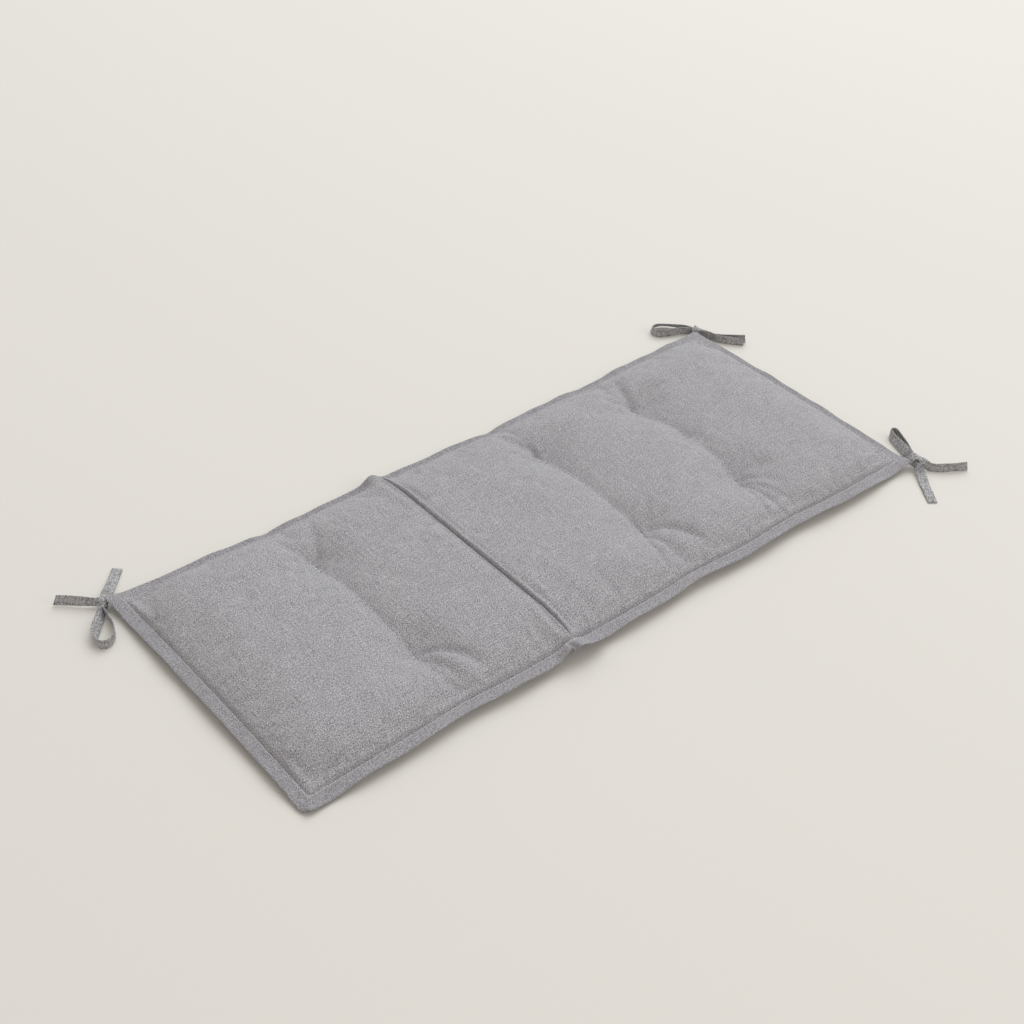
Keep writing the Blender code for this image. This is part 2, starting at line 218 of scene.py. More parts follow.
@dataclass(frozen=True)
class PadForm:
    """The filled pad's form: every size of it, and where each point of its two panels lies.

    A point of a panel is named by its place on the flat rectangle, u along it and v across it.
    """

    length: float = 1.200
    width: float = 0.500
    corner_round: float = 0.016
    tied_round: float = 0.007
    tied_lifts: tuple[tuple[int, int, float, float], ...] = (
        (-1, 1, 0.0075, 0.0055), (1, 1, 0.0015, 0.0), (1, -1, 0.0080, 0.0),
    )
    tied_reach: float = 0.026
    flange_width: float = 0.020
    flange_thickness: float = 0.0030
    flange_height_side: float = 0.0110
    flange_height_end: float = 0.0145
    flange_height_corner: float = 0.0082
    flange_droop_reach: float = 0.100
    flange_slope: float = 0.0025
    flange_lift_near: float = 0.0046
    flange_tilt_near: float = 0.0034
    flange_push_near: float = 0.0052
    flange_tilt_far: float = 0.0055
    flange_drop_far: float = 0.0056
    flange_dip_far: float = 0.0030
    flange_wave: float = 0.0015
    rim_round: float = 0.0015
    crown_height: float = 0.0460
    shoulder_top: float = 0.075
    shoulder_under: float = 0.034
    shoulder_power: float = 1.62
    foot_fillet: float = 0.0035
    tack_side: float = 0.117
    tack_top_height: float = 0.0170
    tack_reach: float = 0.030
    tack_pit_reach: float = 0.0165
    tack_under_dimple: float = 0.0070
    tack_under_reach: float = 0.024
    side_hollow: float = 0.0065
    side_hollow_reach: float = 0.280
    side_pull: float = 0.0050
    side_pull_reach: float = 0.055
    near_hollow: float = 0.0040
    near_hollow_x: float = -0.430
    near_hollow_reach: float = 0.120
    valley_reach: float = 0.030
    valley_round: float = 0.004
    seam_x: float = -0.1335
    seam_height: float = 0.0360
    seam_reach_seat: float = 0.022
    seam_reach_back: float = 0.0038
    seam_power: float = 2.2
    seam_swell: float = 0.0022
    seam_end_x: float = -0.092
    seam_end_rise: float = 0.0052
    seam_end_push: float = 0.0046
    tongue_rise: float = 0.0092
    notch_depth: float = 0.0050
    seam_under_height: float = 0.0170
    seam_under_reach: float = 0.0080
    seam_pinch_rise: float = 0.0165
    seam_pinch_rise_near: float = 0.0090
    seam_pinch_reach: float = 0.017
    seam_pinch_shift: float = -0.005
    rows: tuple[Row, ...] = (
        Row(-0.329, 0.0152, 0.0080, 0.003),
        Row(0.108, 0.0155, 0.0080, 0.003),
        Row(0.319, 0.0155, 0.0080, 0.014),
    )
    folds: tuple[Fold, ...] = (
        Fold(-0.329, -0.117, -28, -62, 0.118, -0.0062, 0.0065),
        Fold(-0.327, -0.122, -52, -40, 0.110, 0.0030, 0.0075),
        Fold(-0.329, -0.117, -74, -12, 0.105, -0.0016, 0.0040),
        Fold(-0.329, 0.117, 56, 10, 0.085, -0.0050, 0.0100),
        Fold(-0.329, 0.117, 109, -8, 0.090, -0.0035, 0.0090),
        Fold(0.108, -0.117, -26, -78, 0.120, -0.0050, 0.0070),
        Fold(0.106, -0.122, -58, -40, 0.105, 0.0022, 0.0075),
        Fold(0.108, -0.117, -84, -14, 0.108, -0.0026, 0.0045),
        Fold(0.108, -0.117, -112, 10, 0.105, -0.0030, 0.0070),
        Fold(0.108, 0.117, 104, 0, 0.095, -0.0045, 0.0100),
        Fold(0.108, 0.117, 128, -20, 0.070, -0.0020, 0.0050),
        Fold(0.319, -0.117, -24, -76, 0.085, -0.0038, 0.0065),
        Fold(0.319, -0.117, -70, -12, 0.115, -0.0024, 0.0042),
        Fold(0.319, -0.117, -86, -10, 0.115, -0.0022, 0.0040),
        Fold(0.319, -0.117, -104, -6, 0.110, -0.0026, 0.0045),
        Fold(0.317, -0.121, -96, -8, 0.112, 0.0016, 0.0045),
        Fold(0.319, 0.117, 74, 4, 0.095, -0.0045, 0.0090),
        Fold(0.319, 0.117, 98, 0, 0.090, -0.0022, 0.0050),
        Fold(0.319, 0.117, 122, -18, 0.070, -0.0018, 0.0050),
    )
    lumps: Ripple = Ripple(11, 0.070, 0.190)
    dents: Ripple = Ripple(12, 0.022, 0.055)
    puckers: Ripple = Ripple(13, 0.009, 0.026)
    waves: Ripple = Ripple(14, 0.045, 0.160)

    def tacks(self) -> Iterator[tuple[Row, int, float, float]]:
        """Each tack's row, side and place."""
        for row in self.rows:
            for side in (-1, 1):
                yield row, side, row.x, side * self.tack_side

    def insets(self, u: Grid, v: Grid) -> tuple[Grid, Grid]:
        """How far points are from the nearest short end and from the nearest long side."""
        return self.length / 2 - np.abs(u), self.width / 2 - np.abs(v)

    def plan(self, u: Grid, v: Grid) -> tuple[Grid, Grid]:
        """Where points lie in plan, with round corners and drawn-in long sides.

        Args:
            u: the points' places along the flat rectangle.
            v: their places across it.

        Returns:
            Their X and Y.
        """
        radius = np.where((u < 0.0) & (v < 0.0), self.corner_round, self.tied_round)
        a = np.clip((np.abs(u) - self.length / 2) / radius + 1.0, 0.0, 1.0)
        b = np.clip((np.abs(v) - self.width / 2) / radius + 1.0, 0.0, 1.0)
        x = u - np.sign(u) * radius * a * (1.0 - np.sqrt(1.0 - b * b / 2))
        y = v - np.sign(v) * radius * b * (1.0 - np.sqrt(1.0 - a * a / 2))
        from_end = self.length / 2 - np.abs(u)
        pull = self.side_hollow * (1.0 - bell(from_end, self.side_hollow_reach))
        pull = pull + self.side_pull * sum(bell(u - row.x, self.side_pull_reach) for row in self.rows)
        pull = pull + self.near_hollow * bell(u - self.near_hollow_x, self.near_hollow_reach) * (v < 0.0)
        pull = pull - self.flange_push_near * self.near_side(u, v)
        y = y - np.sign(v) * pull * (np.abs(v) / (self.width / 2)) ** 3
        out = np.clip(1.0 - (self.width / 2 + v) / self.flange_width, 0.0, 1.0)
        y = y - self.seam_end_push * out * self.seam_end_piece(u)
        for sign_x, sign_y, _, push in self.tied_lifts:
            away = np.hypot(sign_x * self.length / 2 - u, sign_y * self.width / 2 - v)
            drawn = push * math.sqrt(0.5) * bell(away, self.tied_reach * 0.6)
            x, y = x + sign_x * drawn, y + sign_y * drawn
        return x, y

    def near_side(self, u: Grid, v: Grid) -> Grid:
        """A mask of the pad's -Y half, clear of its ends."""
        return smooth(0.02, 0.16, self.length / 2 - np.abs(u)) * (v < 0.0)

    def seam_end_piece(self, u: Grid) -> Grid:
        """A mask of the short flange piece that stands proud beside the fold line's near end."""
        start = self.seam_x - 0.0105
        return smooth(start, start + 0.005, u) * (1.0 - smooth(self.seam_end_x - 0.0022, self.seam_end_x, u))

    def flange_height(self, u: Grid, v: Grid) -> Grid:
        """The flange's middle height, which droops at the corners and rises at the fold line's ends.

        Args:
            u: places along the pad.
            v: places across it.

        Returns:
            The height of the flange's middle surface.
        """
        to_end, to_side = self.insets(u, v)
        at_end = to_side / np.maximum(to_end + to_side, 1e-9)
        level = self.flange_height_side + (self.flange_height_end - self.flange_height_side) * at_end
        droop = bell(np.hypot(to_end, to_side), self.flange_droop_reach)
        height = level + (self.flange_height_corner - level) * droop
        height = height + self.flange_lift_near * self.near_side(u, v)
        for sign_x, sign_y, lift, _ in self.tied_lifts:
            away = np.hypot(sign_x * self.length / 2 - u, sign_y * self.width / 2 - v)
            height = height + lift * bell(away, self.tied_reach)
        pinch_place = u - self.seam_x - self.seam_pinch_shift
        rise = np.where(v < 0.0, self.seam_pinch_rise_near, self.seam_pinch_rise)
        return height + rise * bell(pinch_place, self.seam_pinch_reach)

    def flange_play(self, u: Grid, v: Grid) -> Grid:
        """How the flange's free part leaves its middle height: its outward slope and its soft waves.

        Args:
            u: places along the pad.
            v: places across it.

        Returns:
            The height to add at each place.
        """
        to_end, to_side = self.insets(u, v)
        out = np.clip(1.0 - np.minimum(to_end, to_side) / self.flange_width, 0.0, 1.0)
        around = np.where(to_end < to_side, v + np.sign(u) * 3.1, u + np.sign(v) * 1.7)
        wave = self.flange_wave * self.waves.along(around)
        near = out * (v < 0.0) * (to_side < to_end)
        before = u - (self.seam_x - 0.018)
        tongue = np.where(before < 0.0, bell(before, 0.013), bell(before, 0.0042))
        tuck = self.seam_end_rise * self.seam_end_piece(u) + self.tongue_rise * tongue
        tuck = tuck - self.notch_depth * bell(u - (self.seam_x - 0.0105), 0.0035)
        at_end = smooth(0.25, 0.75, to_side / np.maximum(to_end + to_side, 1e-9))
        far = (1.0 - at_end) * (v > 0.0) + at_end * (u > 0.0)
        clear_of_corner = 1.0 - bell(np.hypot(to_end, to_side), 0.075)
        slope = self.flange_slope - (self.flange_tilt_far * clear_of_corner + self.flange_slope) * far
        slope = slope - self.flange_tilt_near * self.near_side(u, v) * (to_side < to_end)
        dips = sum(bell(u - row.x + 0.012, 0.014) for row in self.rows[:2]) * (v > 0.0) * (to_side < to_end)
        drop = self.flange_drop_far * far * clear_of_corner * smooth(0.0, 0.6, out)
        play = out * (wave - self.flange_dip_far * dips) - drop
        return play + near * tuck - slope * (out - 0.35) * (out > 0.0)

    def valley_depth(self, u: Grid, v: Grid) -> Grid:
        """How far the rows' valleys and the tacks sink the top.

        Args:
            u: places along the pad.
            v: places across it.

        Returns:
            The depth at each place.
        """
        depth = np.zeros(np.broadcast(u, v).shape)
        across = v / self.tack_side
        within = np.abs(across) < 1.0
        for row in self.rows:
            middle = np.where(within, row.x + row.bow * (1.0 - across * across), row.x)
            fade = bell(np.abs(v) - self.tack_side, self.tack_reach)
            deep = np.where(within, row.between, row.outside + (row.between - row.outside) * fade)
            away = np.hypot(u - middle, self.valley_round) - self.valley_round
            depth += deep * np.exp(-away / self.valley_reach)
        pit = self.crown_height - self.tack_top_height
        for row, _, x, y in self.tacks():
            depth += (pit - row.between) * pinch(np.hypot(u - x, v - y), self.tack_pit_reach)
        return depth

    def fans(self) -> Iterator[Fold]:
        """Fine short creases that fan out round each tack, the same each time."""
        rng = np.random.default_rng(7)
        for _, side, x, y in self.tacks():
            for number in range(14):
                heading = side * 90.0 + rng.uniform(-85.0, 85.0)
                if number % 4 == 3:
                    heading += 180.0
                length = rng.uniform(0.035, 0.080)
                lift = rng.uniform(-0.0013, -0.0004) if number % 2 else rng.uniform(0.0003, 0.0009)
                yield Fold(x, y, heading, rng.uniform(-25.0, 25.0), length, lift, rng.uniform(0.0022, 0.0045))

    def shoulders(self, u: Grid, v: Grid, reach: float) -> Grid:
        """How far the filling has risen inside the flange, 0 to 1."""
        to_end, to_side = self.insets(u, v)
        along = superellipse((to_end - self.flange_width) / reach, self.shoulder_power)
        across = superellipse((to_side - self.flange_width) / reach, self.shoulder_power)
        return along * across

    def top(self, u: Grid, v: Grid) -> Grid:
        """The upper panel's height before its fine relief.

        Args:
            u: places along the pad.
            v: places across it.

        Returns:
            The height at each place, flange included.
        """
        foot = self.flange_height(u, v) + self.flange_play(u, v) + self.rim(u, v)
        crown = self.crown_height - self.valley_depth(u, v)
        for fold in self.folds:
            crown = crown + fold.rise(u, v)
        crown = crown + self.seam_swell * bell(u - (self.seam_x - 0.017), 0.012)
        reach = np.where(u < self.seam_x, self.seam_reach_seat, self.seam_reach_back)
        risen = superellipse(np.abs(u - self.seam_x) / reach, self.seam_power)
        crown = self.seam_height + (crown - self.seam_height) * risen
        return foot + (crown - foot) * self.shoulders(u, v, self.shoulder_top)

    def rim(self, u: Grid, v: Grid) -> Grid:
        """Half the flange's thickness, rounded off at its outer edge."""
        to_end, to_side = self.insets(u, v)
        inset = np.minimum(to_end, to_side)
        share = np.clip(inset / self.rim_round, 0.0, 1.0)
        return self.flange_thickness / 2 * np.sqrt(1.0 - (1.0 - share) ** 2)

    def under(self, u: Grid, v: Grid) -> Grid:
        """The lower panel's height: flat on the surface, rising to the flange, dimpled at the tacks.

        Args:
            u: places along the pad.
            v: places across it.

        Returns:
            The height at each place, flange included.
        """
        foot = self.flange_height(u, v) + self.flange_play(u, v) - self.rim(u, v)
        rise = self.seam_under_height * pinch(u - self.seam_x, self.seam_under_reach)
        for _, _, x, y in self.tacks():
            rise = rise + self.tack_under_dimple * bell(np.hypot(u - x, v - y), self.tack_under_reach)
        rise = rise * smooth(0.0, 1.0, rise / self.foot_fillet)
        return rise + (foot - rise) * (1.0 - self.shoulders(u, v, self.shoulder_under))

    def relief(self, u: Grid, v: Grid) -> Grid:
        """The fine relief that the sewing gives the upper panel: lumps, fans and puckers.

        Args:
            u: places along the pad.
            v: places across it.

        Returns:
            The height to add at each place.
        """
        to_end, to_side = self.insets(u, v)
        inset = np.minimum(to_end, to_side) - self.flange_width
        inside = smooth(0.0, 0.030, inset)
        at_seam = np.abs(u - self.seam_x)
        clear = smooth(0.0, 0.022, at_seam)
        height = inside * clear * (0.0007 * self.lumps.at(u, v) + 0.00020 * self.dents.at(u, v))
        for fold in self.fans():
            height = height + inside * fold.rise(u, v)
        around = np.where(to_end < to_side, v + np.sign(u) * 3.1, u + np.sign(v) * 1.7)
        sewn = np.where(inset > 0.0, pinch(inset, 0.011), pinch(inset, 0.006))
        height = height + 0.00030 * sewn * self.puckers.along(around) * (inset > -0.016)
        height = height + 0.00028 * bell(at_seam - 0.006, 0.008) * inside * self.puckers.along(v + 9.0)
        return height - 0.0009 * bell(inset + 0.0002, 0.0012)


def place_lines(half: float, insets: tuple[float, ...], features: list[tuple[float, tuple[float, ...]]],
                step: float) -> Grid:
    """The mesh's lines along one axis of the pad.

    Args:
        half: half of the pad's size along this axis.
        insets: how far in from each edge the sewn edge's own lines lie.
        features: each feature's place, and the offsets at which it has lines of its own.
        step: the widest gap that is left between lines.

    Returns:
        The lines' places, in order.
    """
    marks = [sign * (half - inset) for sign in (-1, 1) for inset in insets]
    for place, offsets in features:
        marks += [place + sign * offset for sign in (-1, 1) for offset in offsets]
    marks = sorted(set(round(mark, 7) for mark in marks))
    lines = [marks[0]]
    for mark in marks[1:]:
        gap = mark - lines[-1]
        if gap < 0.0002:
            continue
        steps = max(1, math.ceil(gap / step))
        start = lines[-1]
        lines += [start + gap * part / steps for part in range(1, steps + 1)]
    return np.array(lines)


def grid_faces(rows: int, columns: int, flip: bool) -> Grid:
    """The four-cornered faces of a grid of points.

    Args:
        rows: how many points the grid has along its first axis.
        columns: how many along its second.
        flip: whether the faces look down.

    Returns:
        One line of four point numbers for each face.
    """
    number = np.arange(rows * columns).reshape(rows, columns)
    corners = [number[:-1, :-1], number[1:, :-1], number[1:, 1:], number[:-1, 1:]]
    if flip:
        corners.reverse()
    return np.stack([corner.ravel() for corner in corners], axis=1)


def mesh_from(name: str, points: Grid, faces: Grid) -> bpy.types.Mesh:
    """A mesh made from arrays of points and faces.

    Args:
        name: the mesh's name.
        points: one line of X, Y and Z for each point.
        faces: one line of point numbers for each face.

    Returns:
        The new mesh, shaded smooth.
    """
    mesh = bpy.data.meshes.new(name)
    mesh.from_pydata(points.tolist(), [], faces.tolist())
    mesh.update()
    mesh.shade_smooth()
    return mesh


def add_piece(name: str, mesh: bpy.types.Mesh, material: bpy.types.Material) -> bpy.types.Object:
    """A named piece in the scene, with its material."""
    piece = bpy.data.objects.new(name, mesh)
    piece.data.materials.append(material)
    bpy.context.scene.collection.objects.link(piece)
    return piece


def own_place(mesh: bpy.types.Mesh, places: Grid) -> None:
    """Keeps each point's place on the flat cloth, which its weave follows."""
    layer = mesh.attributes.new("cloth_place", "FLOAT_VECTOR", "POINT")
    layer.data.foreach_set("vector", places.astype(np.float32).ravel())


def own_mask(mesh: bpy.types.Mesh, name: str, values: Grid) -> None:
    """Keeps a mask on the mesh, one number for each point."""
    layer = mesh.attributes.new(name, "FLOAT", "POINT")
    layer.data.foreach_set("value", values.astype(np.float32).ravel())


@dataclass(frozen=True)
class Swelling:
    """How the filling swells the top panel: a cloth simulation on a coarse sheet.

    Attributes:
        step: the sheet's spacing.
        shrunk: how far the sheet starts below its full form.
        pressure: the filling's pressure.
        slack: how much longer the cloth is than its form.
        frames: how many frames the simulation runs.
        most: the furthest that a point may move.
    """

    step: float = 0.0065
    shrunk: float = 0.0058
    pressure: float = 4.0
    slack: float = 0.012
    frames: int = 20
    most: float = 0.0065

    def run(self, form: PadForm, u: Grid, v: Grid) -> Grid:
        """Swells the top panel.

        Args:
            form: the pad's form.
            u: the fine mesh's lines along the pad.
            v: its lines across the pad.

        Returns:
            How far each point of the fine mesh moves, as X, Y and Z.
        """
        half_u = form.length / 2 - form.flange_width
        half_v = form.width / 2 - form.flange_width
        coarse_u = np.linspace(-half_u, half_u, round(2 * half_u / self.step) + 1)
        coarse_v = np.linspace(-half_v, half_v, round(2 * half_v / self.step) + 1)
        grid_u, grid_v = np.meshgrid(coarse_u, coarse_v, indexing="ij")
        start = self.sheet(form, grid_u, grid_v)
        moved = self.simulate(start, self.held(form, grid_u, grid_v)) - start
        far = np.linalg.norm(moved, axis=2, keepdims=True)
        moved *= np.where(far > 1e-9, self.most * np.tanh(far / self.most) / np.maximum(far, 1e-9), 1.0)
        return self.spread(moved, coarse_u, coarse_v, u, v)

    def sheet(self, form: PadForm, u: Grid, v: Grid) -> Grid:
        """The sheet's form at the start, a little lower than the pad's own."""
        x, y = form.plan(u, v)
        return np.stack([x, y, form.top(u, v) - self.lowered(form, u, v)], axis=2)

    def lowered(self, form: PadForm, u: Grid, v: Grid) -> Grid:
        """How far below its full form the cloth starts, nothing where the sewing holds it."""
        return self.shrunk * form.shoulders(u, v, form.shoulder_top) * (1.0 - self.held(form, u, v))

    def held(self, form: PadForm, u: Grid, v: Grid) -> Grid:
        """How firmly the sewing holds each point: 1 on the flange's foot, the seam and the tacks."""
        to_end, to_side = form.insets(u, v)
        inset = np.minimum(to_end, to_side) - form.flange_width
        firm = 1.0 - smooth(self.step * 0.6, self.step * 1.6, inset)
        firm = np.maximum(firm, 1.0 - smooth(self.step * 0.5, self.step * 1.2, np.abs(u - form.seam_x)))
        for _, _, x, y in form.tacks():
            away = np.hypot(u - x, v - y)
            firm = np.maximum(firm, 1.0 - smooth(self.step * 0.8, self.step * 1.8, away))
        return firm

    def simulate(self, start: Grid, firm: Grid) -> Grid:
        """Runs Blender's cloth on the sheet under pressure, and takes its last frame.

        Args:
            start: the sheet's points.
            firm: how firmly each point is held.

        Returns:
            The points after the last frame.
        """
        rows, columns = firm.shape
        mesh = mesh_from("swelling_sheet", start.reshape(-1, 3), grid_faces(rows, columns, False))
        sheet = bpy.data.objects.new("swelling_sheet", mesh)
        bpy.context.scene.collection.objects.link(sheet)
        group = sheet.vertex_groups.new(name="sewn")
        for number, weight in enumerate(firm.ravel().tolist()):
            if weight > 0.001:
                group.add([number], weight, "REPLACE")
        cloth = sheet.modifiers.new("Swelling", "CLOTH")
        settings = cloth.settings
        settings.quality = 6
        settings.mass = 0.25
        settings.tension_stiffness = 25.0
        settings.compression_stiffness = 25.0
        settings.shear_stiffness = 12.0
        settings.bending_stiffness = 0.8
        settings.vertex_group_mass = "sewn"
        settings.use_pressure = True
        settings.uniform_pressure_force = self.pressure
        settings.shrink_min = -self.slack
        settings.effector_weights.gravity = 0.0
        cloth.collision_settings.use_collision = False
        cloth.point_cache.frame_start = 1
        cloth.point_cache.frame_end = self.frames
        scene = bpy.context.scene
        for number in range(1, self.frames + 1):
            scene.frame_set(number)
        done = bpy.data.meshes.new_from_object(sheet.evaluated_get(bpy.context.evaluated_depsgraph_get()))
        points = np.empty(len(done.vertices) * 3)
        done.vertices.foreach_get("co", points)
        bpy.data.objects.remove(sheet, do_unlink=True)
        for used in (mesh, done):
            bpy.data.meshes.remove(used)
        scene.frame_set(1)
        return points.reshape(rows, columns, 3)

    def spread(self, moved: Grid, coarse_u: Grid, coarse_v: Grid, u: Grid, v: Grid) -> Grid:
        """Carries the coarse sheet's moves over to the fine mesh.

        Args:
            moved: each coarse point's move.
            coarse_u: the sheet's lines along the pad.
            coarse_v: its lines across the pad.
            u: the fine mesh's lines along the pad.
            v: its lines across the pad.

        Returns:
            Each fine point's move, none on the flange.
        """
        along = self.weights(coarse_u, u)
        across = self.weights(coarse_v, v)
        return np.einsum("ia,abk,jb->ijk", along, moved, across, optimize=True)

    @staticmethod
    def weights(coarse: Grid, fine: Grid) -> Grid:
        """The share that each coarse line has in each fine one, by a smooth cubic."""
        table = np.zeros((len(fine), len(coarse)))
        step = coarse[1] - coarse[0]
        for row, place in enumerate(fine):
            at = (place - coarse[0]) / step
            if at < 0.0 or at > len(coarse) - 1:
                continue
            low = min(int(at), len(coarse) - 2)
            t = at - low
            shares = (
                0.5 * (-t + 2 * t * t - t ** 3),
                0.5 * (2 - 5 * t * t + 3 * t ** 3),
                0.5 * (t + 4 * t * t - 3 * t ** 3),
                0.5 * (-t * t + t ** 3),
            )
            for offset, share in zip((-1, 0, 1, 2), shares):
                table[row, min(max(low + offset, 0), len(coarse) - 1)] += share
        return table


@dataclass(frozen=True)
class Cushion:
    """The pad itself: its closed mesh, swelled and dressed."""

    form: PadForm
    swelling: Swelling
    step: float = 0.0041
    edge_lines: tuple[float, ...] = (
        0.0, 0.0003, 0.0008, 0.0015, 0.004, 0.008, 0.012, 0.0155, 0.0180, 0.0195,
        0.0202, 0.0212, 0.0226, 0.0245, 0.0270, 0.0300, 0.0335,
    )
    tack_lines: tuple[float, ...] = (0.0, 0.0014, 0.0030)
    seam_lines: tuple[float, ...] = (0.0, 0.0006, 0.0014, 0.0026, 0.0044, 0.0066, 0.0090, 0.0115, 0.0142, 0.0172)
    seam_end_lines: tuple[float, ...] = (0.0, 0.0012, 0.0024, 0.0036)
    tongue_lines: tuple[float, ...] = (0.0, 0.0012, 0.0026)

    def lines(self) -> tuple[Grid, Grid]:
        """The mesh's lines along the pad and across it."""
        form = self.form
        along = [(row.x, self.tack_lines) for row in form.rows]
        along += [(form.seam_x, self.seam_lines), (form.seam_end_x, self.seam_end_lines)]
        along += [(form.seam_x - 0.0200, self.tongue_lines)]
        across = [(side * form.tack_side, self.tack_lines) for side in (-1, 1)]
        return (
            place_lines(form.length / 2, self.edge_lines, along, self.step),
            place_lines(form.width / 2, self.edge_lines, across, self.step),
        )

    def panel(self, panel: Panel, u: Grid, v: Grid, moved: Grid) -> Grid:
        """One panel's points.

        Args:
            panel: which panel.
            u: the points' places along the pad.
            v: their places across it.
            moved: how far the swelling moves each point of the top panel.

        Returns:
            Each point's X, Y and Z.
        """
        form = self.form
        x, y = form.plan(u, v)
        if panel is Panel.UNDER:
            return np.stack([x, y, form.under(u, v)], axis=2)
        lower = self.swelling.lowered(form, u, v)
        z = form.top(u, v) - lower + form.relief(u, v)
        return np.stack([x, y, z], axis=2) + moved

    @staticmethod
    def flat_places(points: Grid, layer: float) -> Grid:
        """Each point's place on its flat cloth.

        Args:
            points: the panel's points.
            layer: the number that keeps the two panels' weaves apart.

        Returns:
            Each point's distances from the panel's middle lines, measured along the cloth, and its layer.
        """
        places = []
        for axis in (0, 1):
            steps = np.linalg.norm(np.diff(points, axis=axis), axis=2)
            reached = np.insert(np.cumsum(steps, axis=axis), 0, 0.0, axis=axis)
            places.append(reached - np.take(reached, [reached.shape[axis] // 2], axis=axis))
        return np.stack(places + [np.full(points.shape[:2], layer)], axis=2).reshape(-1, 3)

    def build(self, material: bpy.types.Material) -> bpy.types.Object:
        """Builds the closed pad.

        Args:
            material: the pad's cloth.

        Returns:
            The pad.
        """
        lines_u, lines_v = self.lines()
        u, v = np.meshgrid(lines_u, lines_v, indexing="ij")
        moved = self.swelling.run(self.form, lines_u, lines_v)
        top = self.panel(Panel.TOP, u, v, moved)
        under = self.panel(Panel.UNDER, u, v, moved)
        rows, columns = u.shape
        number = np.arange(rows * columns).reshape(rows, columns)
        low = number + rows * columns
        rim = np.zeros((rows, columns), bool)
        rim[0], rim[-1], rim[:, 0], rim[:, -1] = True, True, True, True
        low[rim] = number[rim]
        faces_top = grid_faces(rows, columns, False)
        faces_under = low.ravel()[grid_faces(rows, columns, True)]
        points = np.concatenate([top.reshape(-1, 3), under.reshape(-1, 3)])
        places = np.concatenate([self.flat_places(top, 0.0), self.flat_places(under, 0.1)])
        faces = np.concatenate([faces_top, faces_under])
        used, faces = np.unique(faces, return_inverse=True)
        mesh = mesh_from("cushion_pad", points[used], faces.reshape(-1, 4))
        own_place(mesh, places[used])
        inset = np.minimum(*self.form.insets(u, v))
        # Painted shade: a mask that is 1 on the stitched flange, where the pad's cloth is tinted darker as if it lay
        # in shade.
        painted_flange_shade = 1.0 - smooth(0.0160, 0.0205, inset)
        own_mask(mesh, "painted_flange_shade", np.concatenate([painted_flange_shade.ravel(), painted_flange_shade.ravel()])[used])
        pad = add_piece("cushion_pad", mesh, material)
        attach(pad, "root")
        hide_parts("cushion")
        return pad


@dataclass(frozen=True)
class Stitch:
    """One thread stitch: a slim rounded bar that dips into the cloth at both ends.

    Attributes:
        length: its length.
        radius: the thread's radius.
        sides: how many sides its section has.
        bow: how far its middle stands above its ends.
    """

    length: float = 0.0032
    radius: float = 0.00040
    sides: int = 5
    bow: float = 0.00042

    def points(self, middle: Grid, ahead: Grid, up: Grid) -> tuple[Grid, Grid]:
        """One stitch at a place on the cloth.

        Args:
            middle: where the stitch lies.
            ahead: the way that it runs.
            up: the cloth's normal there.

        Returns:
            Its points, and its faces numbered from 0.
        """
        aside = np.cross(up, ahead)
        rings = ((-0.5, 0.35, -0.4), (-0.32, 1.0, 0.5), (0.0, 1.0, 1.0), (0.32, 1.0, 0.5), (0.5, 0.35, -0.4))
        angles = np.linspace(0.0, math.tau, self.sides, endpoint=False)
        points = []
        for share, fat, rise in rings:
            centre = middle + ahead * share * self.length + up * rise * self.bow
            ring = np.outer(np.cos(angles), aside) + np.outer(np.sin(angles), up)
            points.append(centre + ring * self.radius * fat)
        count = self.sides
        faces = []
        for ring in range(len(rings) - 1):
            for side in range(count):
                after = (side + 1) % count
                a, b = ring * count + side, ring * count + after
                faces.append((a, b, b + count, a + count))
        return np.concatenate(points), np.array(faces)


